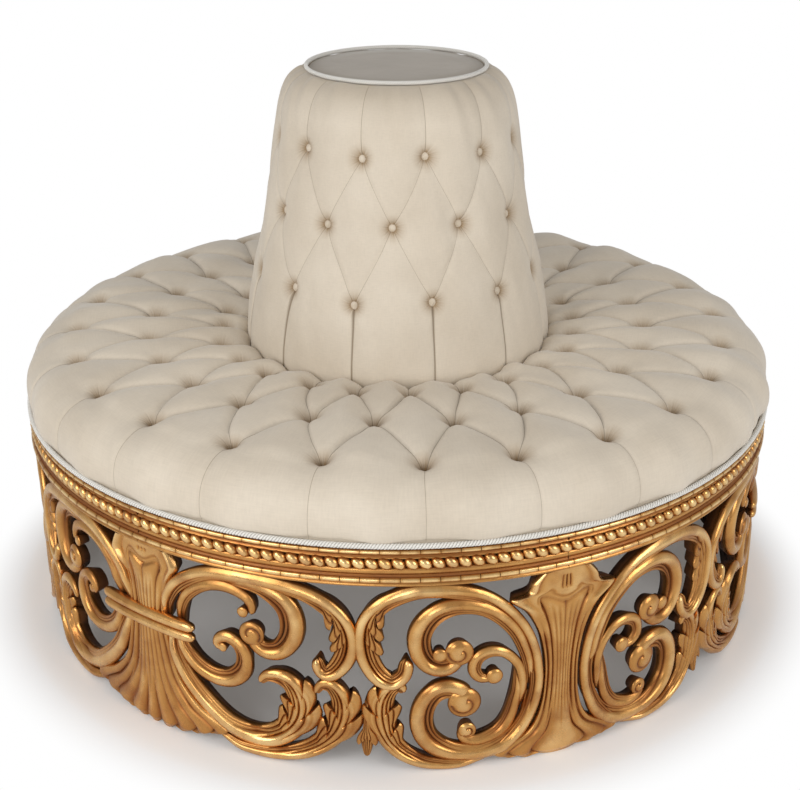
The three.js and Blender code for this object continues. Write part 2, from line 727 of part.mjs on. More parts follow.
// Bolts hold the back's base board down on the deck, with flanged nuts below.
function addBackBolts() {
  const hexagon = 6;
  const headBottom = baseBoardTop + gap;
  const nutTop = deckBottom - gap;
  const nutBottom = nutTop - nutFlangeHeight - nutHeight;
  const shank = toSolid(bar(boltRadius, nutBottom - boltRadius, headBottom + boltHeadHeight / 2, boltSides));
  const head = toSolid(bar(boltHeadRadius, headBottom, headBottom + boltHeadHeight, hexagon));
  const bolt = toGeometry(head.add(shank));
  const flange = toSolid(bar(nutFlangeRadius, nutTop - nutFlangeHeight, nutTop, boltSides));
  const body = toSolid(bar(boltHeadRadius, nutBottom, nutTop - nutFlangeHeight / 2, hexagon));
  const bore = toSolid(bar(boltRadius + gap, nutBottom - overrun, nutTop + overrun, boltSides));
  const nut = toGeometry(flange.add(body).subtract(bore));
  boltPlaces.forEach(([x, y], i) => {
    addPiece(`back_bolt_${i + 1}`, bolt.clone().translate(x, y, 0), steel());
    addPiece(`back_nut_${i + 1}`, nut.clone().translate(x, y, 0), steel());
  });
}

addCarvedBase();
addRail();
addDeck();
addBeams();
addCornerBlocks();
addCentreLeg();
addDustCover();
addSeatCushion();
addSeatCord();
addBackCover();
addBackBoards();
addSlats();
addTopCord();
addBackBolts();

export default sofa;
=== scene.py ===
"""Round centre sofa: a carved gilt base ring, a buttoned ring seat and a buttoned conical back.

Metres, +Z up, origin on the floor at the centre. A bearing is an angle round the centre, zero at
the front (-Y) and growing towards +X.
"""

import json
import logging
import math
from dataclasses import dataclass, field
from enum import Enum
from typing import Callable, Optional, Protocol, Sequence

import bpy
import numpy as np
from mathutils import Matrix, Vector


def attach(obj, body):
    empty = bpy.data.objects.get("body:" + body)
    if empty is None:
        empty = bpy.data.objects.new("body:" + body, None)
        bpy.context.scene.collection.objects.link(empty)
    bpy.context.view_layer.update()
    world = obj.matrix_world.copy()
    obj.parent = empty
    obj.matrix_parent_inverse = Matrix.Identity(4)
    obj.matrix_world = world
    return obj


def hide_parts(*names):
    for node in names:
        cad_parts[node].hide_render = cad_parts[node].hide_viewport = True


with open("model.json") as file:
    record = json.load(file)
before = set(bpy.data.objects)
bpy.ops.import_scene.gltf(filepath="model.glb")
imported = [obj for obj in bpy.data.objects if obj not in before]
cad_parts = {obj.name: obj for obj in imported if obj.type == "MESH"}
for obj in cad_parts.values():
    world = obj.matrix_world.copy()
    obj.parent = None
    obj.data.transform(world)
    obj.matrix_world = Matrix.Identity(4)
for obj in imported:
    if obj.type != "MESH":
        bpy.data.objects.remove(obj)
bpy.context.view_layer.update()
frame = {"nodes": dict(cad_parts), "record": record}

LOG = logging.getLogger("sofa")
BODY = "root"
MM = 0.001
TURN = 2 * math.pi
BAYS = 6
BAY_ANGLE = TURN / BAYS

Array = np.ndarray
Material = bpy.types.Material
Mesh = bpy.types.Mesh
Piece = bpy.types.Object
Socket = bpy.types.NodeSocket

WHITE = (1.0, 1.0, 1.0, 1.0)
LIFTED = 0.0002  # lowest point of the carving over the floor


class Slot(Enum):
    """Material slots of the record."""

    GILT = "gilded_wood"
    FABRIC = "upholstery"
    CORD = "trim_cord"
    FOAM = "foam"
    PLY = "plywood"
    TIMBER = "frame_wood"
    STEEL = "steel"
    CAMBRIC = "dust_cloth"


# Small sums


def colour(red: int, green: int, blue: int) -> tuple[float, float, float, float]:
    """Turn a display colour of 0-255 into the linear one that shaders take."""
    def linear(value: int) -> float:
        """Undo the display curve of one channel."""
        share = value / 255
        return share / 12.92 if share <= 0.04045 else ((share + 0.055) / 1.055) ** 2.4
    return (linear(red), linear(green), linear(blue), 1.0)


def polar(bearing: Array, radius: Array, height: Array) -> Array:
    """Place points by bearing, radius and height; x, y and z lie along the last axis."""
    bearing, radius, height = np.broadcast_arrays(bearing, radius, height)
    return np.stack([radius * np.sin(bearing), -radius * np.cos(bearing), height], axis=-1)


def spline(points: Array, places: Array) -> Array:
    """Sample a smooth curve through points.

    Args:
        points: the points, one row each.
        places: where to sample, counted in points from the first.

    Returns:
        One row for each place.
    """
    points = np.asarray(points, float)
    padded = np.vstack([2 * points[0] - points[1], points, 2 * points[-1] - points[-2]])
    places = np.clip(places, 0, len(points) - 1)
    cell = np.minimum(places.astype(int), len(points) - 2)
    t = (places - cell)[:, None]
    a, b, c, d = (padded[cell + i] for i in range(4))
    return 0.5 * (2 * b + (c - a) * t + (2 * a - 5 * b + 4 * c - d) * t**2 + (3 * b - a - 3 * c + d) * t**3)


def smooth(low: float, high: float, value: Array) -> Array:
    """Rise smoothly from 0 at one value to 1 at another."""
    t = np.clip((np.asarray(value, float) - low) / (high - low), 0, 1)
    return t * t * (3 - 2 * t)


def nearest(value: Array) -> Array:
    """Give the signed way from the nearest whole number."""
    return value - np.round(value)


# Meshes


def inside_out(points: Array, faces: Array) -> bool:
    """Tell whether a closed shell's faces, all with as many corners, point inwards."""
    first, *others = (points[faces[:, i]] for i in range(faces.shape[1]))
    return sum((first * np.cross(b, c)).sum() for b, c in zip(others, others[1:])) < 0


def sheet_corners(rows: int, columns: int) -> Array:
    """Number the corners of each cell of a grid that closes both ways.

    Args:
        rows: how many the grid has.
        columns: the same.

    Returns:
        Four numbers for each cell.
    """
    grid = np.arange(rows * columns).reshape(rows, columns)
    right = np.roll(grid, -1, axis=1)
    corners = np.stack([grid, right, np.roll(right, -1, axis=0), np.roll(grid, -1, axis=0)], axis=-1)
    return corners.reshape(-1, 4)


def new_mesh(name: str, points: Sequence, faces: Sequence = ()) -> Mesh:
    """Make a mesh of points and faces."""
    mesh = bpy.data.meshes.new(name)
    mesh.from_pydata(points, [], faces)
    return mesh


def paint(mesh: Mesh, name: str, values: Array, kind: str = "FLOAT") -> None:
    """Store numbers, or vectors of the kind FLOAT_VECTOR, on a mesh's vertices."""
    field_name = "value" if kind == "FLOAT" else "vector"
    mesh.attributes.new(name, kind, "POINT").data.foreach_set(field_name, np.ravel(values))


@dataclass
class Shells:
    """Gathers closed shells into one piece, each vertex with a relief between 0 and 1 that sets its painted
    shade and highlight.
    """

    points: list[Array] = field(default_factory=list)
    relief_shade: list[Array] = field(default_factory=list)
    faces: list[Array] = field(default_factory=list)
    count: int = 0

    def add(self, points: Array, faces: Array, relief_shade: Array) -> None:
        """Add one closed shell, turned so that its faces point outwards.

        Args:
            points: its vertices.
            faces: its four-cornered faces; a triangle repeats its last corner.
            relief_shade: how exposed each vertex is.
        """
        self.points.append(points)
        self.relief_shade.append(relief_shade)
        self.faces.append((faces[:, ::-1] if inside_out(points, faces) else faces) + self.count)
        self.count += len(points)

    def add_tube(self, sections: Array, relief_shade: Array) -> None:
        """Add a shell over closed sections, each end closed round its middle point.

        Args:
            sections: points by section, place round it, and coordinate.
            relief_shade: how exposed each of these points is.
        """
        rows, round_, _ = sections.shape
        grid = np.arange(rows * round_).reshape(rows, round_)
        turned = np.roll(grid, -1, axis=1)
        sides = np.stack([grid[:-1], turned[:-1], turned[1:], grid[1:]], axis=-1).reshape(-1, 4)
        first, last = rows * round_, rows * round_ + 1
        start = np.stack([turned[0], grid[0], np.full(round_, first), np.full(round_, first)], axis=-1)
        end = np.stack([grid[-1], turned[-1], np.full(round_, last), np.full(round_, last)], axis=-1)
        points = np.vstack([sections.reshape(-1, 3), sections[0].mean(0), sections[-1].mean(0)])
        exposed = np.concatenate([relief_shade.ravel(), [relief_shade[0].mean(), relief_shade[-1].mean()]])
        self.add(points, np.vstack([sides, start, end]), exposed)

    def piece(self, name: str, bearing: float = 0.0, sharp_degrees: float = 60.0) -> Piece:
        """Make the piece, turned to a bearing round the centre.

        Args:
            name: the piece's name.
            bearing: how far the shells are turned, in radians.
            sharp_degrees: edges that bend more than this stay crisp.

        Returns:
            The new object, at the origin.
        """
        turn = np.array(Matrix.Rotation(bearing, 3, "Z"))
        points = np.vstack(self.points) @ turn.T
        faces = [tuple(f[:3]) if f[2] == f[3] else tuple(f[1:]) if f[0] == f[1] else tuple(f)
                 for f in np.vstack(self.faces).tolist()]
        mesh = new_mesh(name, points, faces)
        paint(mesh, "relief_shade", np.concatenate(self.relief_shade))
        mesh.shade_smooth()
        mesh.set_sharp_from_angle(angle=math.radians(sharp_degrees))
        return add_object(name, mesh)


def add_object(name: str, data: bpy.types.ID) -> Piece:
    """Put a mesh, lamp or camera in the scene at the origin."""
    piece = bpy.data.objects.new(name, data)
    bpy.context.scene.collection.objects.link(piece)
    return piece


def settle(piece: Piece, finish: Material, nodes: Sequence[str] = ()) -> None:
    """Give a piece its finish and its place on the part.

    Args:
        piece: the finished object.
        finish: its material.
        nodes: the CAD nodes that it stands for.
    """
    piece.data.materials.clear()
    piece.data.materials.append(finish)
    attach(piece, BODY)
    if nodes:
        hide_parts(*nodes)
    LOG.info("%s: %d faces", piece.name, len(piece.data.polygons))


# Nodes


class Layout:
    """A short way to lay out the nodes of one tree."""

    def __init__(self, tree: bpy.types.NodeTree) -> None:
        """Take the tree that the nodes go into."""
        self.tree = tree

    def node(self, kind: str, inputs: Optional[dict] = None, **settings: object) -> bpy.types.Node:
        """Add a node.

        Args:
            kind: its full type.
            inputs: values or sockets by input name or number.
            settings: the node's own properties.

        Returns:
            The node.
        """
        made = self.tree.nodes.new(kind)
        for key, value in settings.items():
            setattr(made, key, value)
        for key, value in (inputs or {}).items():
            if isinstance(value, Socket):
                self.tree.links.new(value, made.inputs[key])
            else:
                made.inputs[key].default_value = value
        return made

    def out(self, kind: str, inputs: Optional[dict] = None, **settings: object) -> Socket:
        """Add a node and give its first output."""
        return self.node(kind, inputs, **settings).outputs[0]

    def sum(self, operation: str, first: object, second: object = 0.0, third: object = 0.0) -> Socket:
        """Do one sum on numbers or sockets."""
        return self.out("ShaderNodeMath", {0: first, 1: second, 2: third}, operation=operation)

    def across(self, operation: str, first: object, second: object = (0, 0, 0)) -> bpy.types.Node:
        """Do one sum on vectors or sockets."""
        return self.node("ShaderNodeVectorMath", {0: first, 1: second}, operation=operation)

    def camera_ray(self) -> Socket:
        """Give 1 to what the camera sees itself, 0 to light that bounces."""
        return self.out("ShaderNodeLightPath")


class Finish(Protocol):
    """Whatever builds a material."""

    def material(self) -> Material:
        """Build the material."""


class Shader(Layout):
    """Lays out a material's nodes round one Principled shader."""

    def __init__(self, name: str, **plain: object) -> None:
        """Start a material.

        Args:
            name: the material's name.
            plain: values set on the shader's own sockets, with _ for spaces.
        """
        self.material = bpy.data.materials.new(name)
        self.material.use_nodes = True
        super().__init__(self.material.node_tree)
        self.shader = self.tree.nodes["Principled BSDF"]
        for key, value in plain.items():
            self.shader.inputs[key.replace("_", " ")].default_value = value

    def place(self) -> Socket:
        """Give the surface's place in the object's own coordinates."""
        return self.node("ShaderNodeTexCoord").outputs["Object"]

    def value(self, name: str) -> Socket:
        """Give a number painted on the vertices."""
        return self.node("ShaderNodeAttribute", attribute_name=name).outputs["Fac"]

    def noise(self, vector: Socket, scale: float, detail: float = 3.0) -> Socket:
        """Give a cloudy pattern of about 0-1."""
        return self.out("ShaderNodeTexNoise", {"Vector": vector, "Scale": scale, "Detail": detail})

    def stretch(self, vector: Socket, x: float, y: float, z: float) -> Socket:
        """Scale a place along each axis."""
        return self.out("ShaderNodeMapping", {"Vector": vector, "Scale": (x, y, z)})

    def ramp(self, value: Socket, stops: Sequence[tuple]) -> Socket:
        """Turn a number into a colour.

        Args:
            value: the number.
            stops: (place, colour) each; a plain number stands for a grey.

        Returns:
            The colour.
        """
        made = self.node("ShaderNodeValToRGB", {"Fac": value})
        stop = made.color_ramp.elements
        while len(stop) < len(stops):
            stop.new(0.5)
        for element, (place, shade) in zip(stop, stops):
            element.position = place
            element.color = shade if isinstance(shade, tuple) else (shade, shade, shade, 1)
        return made.outputs["Color"]

    def mix(self, share: object, first: object, second: object, blend: str = "MIX") -> Socket:
        """Mix two colours."""
        inputs = {0: share, 6: first, 7: second}
        return self.node("ShaderNodeMix", inputs, data_type="RGBA", blend_type=blend).outputs[2]

    def feed(self, **sockets: Socket) -> None:
        """Link sockets to the shader's inputs, named with _ for spaces."""
        for key, socket in sockets.items():
            self.tree.links.new(socket, self.shader.inputs[key.replace("_", " ")])

    def bump(self, *layers: tuple[Socket, float, float]) -> None:
        """Raise the surface by layers of (height, strength, depth in metres)."""
        normal = None
        for height, strength, depth in layers:
            inputs = {"Height": height, "Strength": strength, "Distance": depth}
            if normal:
                inputs["Normal"] = normal
            normal = self.out("ShaderNodeBump", inputs)
        self.feed(Normal=normal)


@dataclass(frozen=True)
class Gilding:
    """Burnished metal leaf over a brown ground, rubbed bright on ridges, with patina and painted shade in its
    cuts and a painted highlight on its ridges.
    """

    # darkest tone: patina and painted shade in the cuts and on the walls
    hollow_shade_and_patina: tuple = colour(62, 35, 16)
    ground: tuple = colour(153, 97, 49)
    leaf: tuple = colour(205, 152, 88)
    # brightest tone: leaf rubbed bright, with a painted highlight
    ridge: tuple = colour(252, 216, 154)
    bole: tuple = colour(152, 90, 46)
    ground_at: float = 0.36  # reliefs where the ground and the leaf show plainly
    leaf_at: float = 0.77
    patches: float = 16.0  # how often the wear changes along a metre
    patchiness: float = 0.36
    bole_patches: float = 20.0
    bole_share: float = 0.55
    metal: tuple = ((0.1, 0.3), (0.45, 0.95))  # by relief
    rough: tuple = ((0.1, 0.52), (0.8, 0.26))
    clouds: float = 48.0  # of the roughness
    cloudiness: float = 0.35

    def material(self) -> Material:
        """Build the material, which reads the painted shade and highlight stored on the carving's vertices.
        """
        made = Shader("gilt_leaf")
        place = made.place()
        wear = made.sum("SUBTRACT", made.noise(place, self.patches, 4), 0.5)
        # Random wear plus the painted relief shade picks the tone: painted shade in cuts, painted highlight
        # on ridges.
        exposed = made.sum("MULTIPLY_ADD", wear, self.patchiness, made.value("relief_shade"))
        tone = made.ramp(exposed, [
            (0.0, self.hollow_shade_and_patina), (self.ground_at, self.ground), (self.leaf_at, self.leaf), (1.0, self.ridge)])
        bared = made.ramp(made.noise(place, self.bole_patches, 4), [(0.5, 0.0), (0.72, self.bole_share)])
        cloud = made.sum("SUBTRACT", made.noise(place, self.clouds, 3), 0.5)
        made.feed(Base_Color=made.mix(bared, tone, self.bole), Metallic=made.ramp(exposed, self.metal),
                  Roughness=made.sum("MULTIPLY_ADD", cloud, self.cloudiness, made.ramp(exposed, self.rough)))
        made.bump((made.noise(place, 30, 2), 0.28, 0.003), (made.noise(place, 150, 2), 0.1, 0.0008))
        return made.material


@dataclass(frozen=True)
class Upholstery:
    """Cream satin weave with crisp folds, with painted shade along its folds, round its pits and towards the
    top.
    """

    tone: tuple = colour(216, 204, 186)
    shade: tuple = colour(205, 192, 173)
    # painted shade along each fold's crisp line
    crease: tuple = colour(112, 92, 66)
    # painted shade round the buttons' pits
    deep: tuple = colour(146, 116, 76)
    # painted shade colour towards the top
    dull: tuple = colour(150, 134, 112)
    top_shade_from: float = 0.95  # heights between which painted shade darkens the cloth towards the top
    top_shade_by: float = 1.0
    top_shade_share: float = 0.32
    name: str = "cream_satin"
    mottle: float = 7.0  # how often the tone changes along a metre
    slubs: float = 420.0
    threads: float = 1500.0
    puckers: float = 4.4  # how often the rays round a button change

    def woven_noise(self, made: Shader, cloth: Socket, scale: float, length: float, detail: float) -> Socket:
        """Add two noises on the flat cloth, one drawn out along the warp and one along the weft."""
        return made.sum("ADD", made.noise(made.stretch(cloth, 1, length, 1), scale, detail),
                        made.noise(made.stretch(cloth, length, 1, 1), scale, detail))

    def material(self) -> Material:
        """Build the material, which reads the cloth's own UV maps and its painted folds."""
        made = Shader(self.name, Roughness=0.58, Sheen_Weight=0.25, Sheen_Roughness=0.4,
                      Specular_IOR_Level=0.4)
        cloth = made.out("ShaderNodeUVMap", uv_map="cloth")
        eye = made.out("ShaderNodeUVMap", uv_map="eye")
        place = made.place()
        slub = self.woven_noise(made, cloth, self.slubs, 0.12, 2)
        thread = self.woven_noise(made, cloth, self.threads, 0.1, 1)
        cloud = made.ramp(made.noise(place, self.mottle, 3), [(0.35, 0.0), (0.7, 1.0)])
        woven = made.mix(1.0, made.mix(cloud, self.tone, self.shade),
                         made.ramp(made.sum("MULTIPLY", slub, 0.5), [(0.36, 0.94), (0.6, 1.0)]), "MULTIPLY")
        rays = made.noise(made.across("NORMALIZE", eye).outputs[0], self.puckers, 2)
        pit = made.value("pit")
        close = made.ramp(pit, [(0.05, 0.0), (0.42, 1.0)])
        # Painted shade round each pit, broken into rays of puckers.
        dark = made.ramp(pit, [(0.09, 0.0), (0.55, 0.9)])
        pit_shade = made.sum("MULTIPLY", dark, made.sum("MULTIPLY", rays, 1.9))
        shaded = made.mix(pit_shade, woven, self.deep)
        # Painted shade: a dark line along each fold, as wide as the line attribute.
        ratio = made.sum("DIVIDE", made.value("fold"), made.value("line"))
        drawn = made.ramp(ratio, [(0.15, 0.75), (1.0, 0.0)])
        # Painted shade darkens the cloth towards the top.
        height = made.node("ShaderNodeSeparateXYZ", {0: place}).outputs["Z"]
        top = made.out("ShaderNodeMapRange", {
            0: height, 1: self.top_shade_from, 2: self.top_shade_by, 4: self.top_shade_share})
        made.feed(Base_Color=made.mix(drawn, made.mix(top, shaded, self.dull), self.crease))
        ray_height = made.sum("MULTIPLY", rays, close)
        made.bump((thread, 0.25, 0.0004), (slub, 0.15, 0.0008), (ray_height, 0.6, 0.006),
                  (made.noise(place, 26, 3), 0.3, 0.004))
        return made.material


@dataclass(frozen=True)
class ButtonCloth:
    """The covers' satin, drawn tight over a button."""

    tone: tuple = colour(214, 201, 182)
    shade: tuple = colour(190, 174, 150)

    def material(self) -> Material:
        """Build the material."""
        made = Shader("button_satin", Roughness=0.55, Sheen_Weight=0.25, Specular_IOR_Level=0.4)
        place = made.place()
        cloud = made.noise(place, 60, 2)
        made.feed(Base_Color=made.mix(made.ramp(cloud, [(0.35, 0.0), (0.7, 1.0)]), self.tone, self.shade))
        made.bump((made.noise(place, 1200, 1), 0.2, 0.0004))
        return made.material


@dataclass(frozen=True)
class CordYarn:
    """White twisted yarn with fine fibres, with painted shade in the grooves between its strands."""

    tone: tuple = colour(228, 225, 218)
    shade: tuple = colour(128, 120, 108)

    def material(self) -> Material:
        """Build the material."""
        made = Shader("white_yarn", Roughness=0.55, Sheen_Weight=0.3)
        place = made.place()
        fibre = made.noise(place, 900, 3)
        # The painted shade between the strands, read from the vertices, pulls the yarn towards its shade
        # colour.
        outward = made.sum("MULTIPLY_ADD", fibre, 0.3, made.value("relief_shade"))
        made.feed(Base_Color=made.mix(made.ramp(outward, [(0.3, 0.0), (0.85, 1.0)]), self.shade, self.tone))
        made.bump((fibre, 0.5, 0.0005))
        return made.material


@dataclass(frozen=True)
class BareWood:
    """Unfinished timber or plywood."""

    name: str
    pale: tuple
    dark: tuple
    grain: tuple[float, float, float]  # how fast it changes along x, y and z

    def material(self) -> Material:
        """Build the material."""
        made = Shader(self.name, Roughness=0.68)
        grain = made.stretch(made.place(), *self.grain)
        rings = made.noise(grain, 6, 6)
        fibre = made.noise(grain, 60, 3)
        tone = made.mix(made.ramp(rings, [(0.38, 0.0), (0.62, 1.0)]), self.pale, self.dark)
        made.feed(Base_Color=made.mix(made.ramp(fibre, [(0.3, 0.35), (0.7, 0.0)]), tone, self.dark))
        made.bump((fibre, 0.3, 0.0006))
        return made.material


@dataclass(frozen=True)
class ZincSteel:
    """Zinc-plated hardware with a slightly cloudy brightness."""

    bright: tuple = colour(186, 188, 190)
    dull: tuple = colour(140, 143, 147)

    def material(self) -> Material:
        """Build the material."""
        made = Shader("zinc_steel", Metallic=1.0)
        place = made.place()
        spangle = made.out("ShaderNodeTexVoronoi", {"Vector": place, "Scale": 260})
        made.feed(Base_Color=made.mix(spangle, self.dull, self.bright))
        made.feed(Roughness=made.ramp(made.noise(place, 90, 3), [(0.3, 0.3), (0.7, 0.48)]))
        made.bump((made.noise(place, 500, 2), 0.15, 0.0003))
        return made.material


@dataclass(frozen=True)
class Cambric:
    """Thin black dust cloth with an open weave."""

    black: tuple = colour(34, 34, 36)
    worn: tuple = colour(58, 57, 57)

    def material(self) -> Material:
        """Build the material."""
        made = Shader("black_cambric", Roughness=0.92, Sheen_Weight=0.2)
        place = made.place()
        warp = made.noise(made.stretch(place, 1, 0.04, 1), 700, 1)
        weft = made.noise(made.stretch(place, 0.04, 1, 1), 700, 1)
        weave = made.sum("MULTIPLY", warp, weft)
        made.feed(Base_Color=made.mix(made.ramp(weave, [(0.15, 0.0), (0.4, 1.0)]), self.black, self.worn))
        made.bump((weave, 0.5, 0.0005))
        return made.material


@dataclass(frozen=True)
class FoamCell:
    """Open-cell upholstery foam."""

    tone: tuple = colour(232, 222, 178)
    pore: tuple = colour(196, 182, 132)

    def material(self) -> Material:
        """Build the material."""
        made = Shader("open_cell_foam", Roughness=0.95)
        cell = made.out("ShaderNodeTexVoronoi", {"Vector": made.place(), "Scale": 420})
        made.feed(Base_Color=made.mix(made.ramp(cell, [(0.1, 0.0), (0.5, 1.0)]), self.pore, self.tone))
        made.bump((cell, 0.6, 0.0008))
        return made.material


def made_of(finish: Finish) -> Material:
    """Let each set of finishes build this one anew."""
    return field(default_factory=finish.material)


@dataclass(frozen=True)
class Finishes:
    """Every material of the sofa, made once."""

    gilt: Material = made_of(Gilding())
    fabric: Material = made_of(Upholstery())
    # A darker copy of the satin: painted shade on the top pad, which faces up.
    shaded_top_fabric: Material = made_of(
        Upholstery(name="shaded_top_satin", tone=colour(176, 167, 155), shade=colour(161, 152, 140)))
    button: Material = made_of(ButtonCloth())
    cord: Material = made_of(CordYarn())
    foam: Material = made_of(FoamCell())
    ply: Material = made_of(
        BareWood("birch_ply", colour(214, 186, 142), colour(188, 154, 108), (1.2, 9, 9)))
    timber: Material = made_of(
        BareWood("planed_beech", colour(196, 158, 112), colour(160, 118, 76), (22, 22, 1.5)))
    steel: Material = made_of(ZincSteel())
    cambric: Material = made_of(Cambric())


# Carved work


@dataclass(frozen=True)
class Tooth:
    """A pointed lobe of a leaf's edge, in mm."""

    at: float  # counted in the stroke's points from its first
    side: int  # 1 on the stroke's outer side, -1 on its inner one
    reach: float
    lean: float  # how far its tip hooks on along the stroke; negative hooks back
    length: float = 26.0


@dataclass(frozen=True)
class Stroke:
    """A carved band or leaf.

    Each point is (along, up, width, cut): shares of the half bay and of the carving's height,
    millimetres, and how far its section has turned from a plain roll (0) by way of a roll and
    cove (1) and a roll and leaf (2) to flutes (3).
    """

    points: tuple
    level: float = 0.0  # mm behind the highest ridges
    teeth: tuple[Tooth, ...] = ()
    root: int = 0  # the end that grows out of another stroke: 0 its first, -1 its last


@dataclass(frozen=True)
class Eye:
    """The round end of a scroll: shares of its place, then radius and level in mm."""

    along: float
    up: float
    radius: float
    level: float = 0.0
    comma: float = 0.0  # degrees where its curled groove starts; 0 leaves it plain
    turn: int = 1


PLAIN_STROKES = (
    Stroke((
        (0.77, 0.605, 25, 0.7), (0.785, 0.53, 27, 1), (0.84, 0.49, 30, 1.5), (0.9, 0.52, 35, 2),
        (0.95, 0.6, 37, 2), (0.968, 0.7, 38, 2), (0.955, 0.8, 34, 1.8), (0.9, 0.88, 31, 1),
        (0.82, 0.93, 30, 0.4), (0.72, 0.962, 29, 0.1), (0.62, 0.965, 29, 0), (0.52, 0.95, 29, 0.3),
        (0.42, 0.92, 27, 0.7), (0.34, 0.87, 26, 0.9), (0.26, 0.79, 25, 0.9), (0.2, 0.7, 25, 0.9),
        (0.16, 0.6, 25, 0.9), (0.14, 0.5, 25, 0.9), (0.135, 0.42, 24, 0.9), (0.15, 0.32, 24, 0.9),
        (0.19, 0.22, 24, 0.8), (0.25, 0.14, 24, 0.7), (0.33, 0.075, 20, 0.5), (0.42, 0.045, 14, 0.3)),
        teeth=(Tooth(6.1, -1, 12, -6), Tooth(5.2, -1, 14, -7), Tooth(4.3, -1, 10, -6)), root=-1),
    Stroke((
        (0.16, 0.4, 14, 0.5), (0.175, 0.5, 18, 0.7), (0.2, 0.6, 21, 0.8), (0.25, 0.71, 24, 0.8),
        (0.33, 0.8, 26, 0.6), (0.42, 0.855, 28, 0.3), (0.52, 0.872, 31, 0.5), (0.61, 0.852, 36, 0.9),
        (0.675, 0.8, 40, 1), (0.71, 0.725, 41, 1), (0.705, 0.645, 39, 1), (0.67, 0.585, 36, 1),
        (0.62, 0.558, 33, 1), (0.57, 0.562, 32, 0.8), (0.537, 0.59, 31, 0.4), (0.524, 0.628, 30, 0)), 1.5),
    Stroke((
        (0.235, 0.27, 14, 0), (0.212, 0.36, 16, 0), (0.206, 0.45, 16, 0), (0.235, 0.54, 17, 0),
        (0.3, 0.605, 19, 0), (0.37, 0.62, 22, 0.3), (0.43, 0.592, 24, 0.7), (0.447, 0.535, 23, 0.7),
        (0.42, 0.49, 20, 0.4), (0.375, 0.478, 16, 0), (0.352, 0.492, 15, 0)), 3),
    Stroke((
        (0.225, 0.52, 10, 0.5), (0.232, 0.43, 16, 0.8), (0.243, 0.35, 21, 0.9), (0.27, 0.25, 25, 0.8),
        (0.32, 0.18, 26, 0.5), (0.4, 0.145, 25, 0.2), (0.46, 0.145, 22, 0), (0.5, 0.17, 18, 0),
        (0.502, 0.2, 15, 0), (0.482, 0.212, 13, 0)), 4),
    Stroke((
        (0.15, 0.38, 18, 0.6), (0.18, 0.25, 27, 0.8), (0.24, 0.155, 32, 0.8), (0.33, 0.1, 34, 0.5),
        (0.43, 0.08, 35, 0.2), (0.54, 0.09, 37, 0.4), (0.625, 0.13, 40, 0.8), (0.68, 0.19, 41, 1),
        (0.7, 0.27, 41, 1), (0.685, 0.355, 40, 1), (0.64, 0.418, 39, 0.9), (0.58, 0.44, 38, 0.7),
        (0.525, 0.425, 36, 0.5), (0.495, 0.395, 34, 0.2), (0.492, 0.362, 33, 0)), 0.5),
    Stroke((
        (0.38, 0.04, 12, 0.2), (0.5, 0.03, 17, 0.3), (0.6, 0.032, 20, 0.6), (0.7, 0.052, 25, 0.9),
        (0.79, 0.105, 32, 2), (0.855, 0.18, 40, 3), (0.885, 0.28, 44, 3), (0.885, 0.375, 40, 2.8),
        (0.855, 0.44, 30, 2), (0.81, 0.465, 22, 1.2), (0.78, 0.435, 14, 0.6)), 1,
        (Tooth(5.5, -1, 11, 6, 34), Tooth(6.8, -1, 12, 6, 34), Tooth(6.6, 1, 14, 8, 40),
         Tooth(7.6, 1, 11, 8, 34))),
)
PLAIN_EYES = (Eye(0.523, 0.633, 24, -0.5, 120), Eye(0.614, 0.627, 12, 3), Eye(0.349, 0.49, 14, 1.5),
              Eye(0.493, 0.361, 28, -0.5, 100), Eye(0.479, 0.21, 15, 1.5, 60))

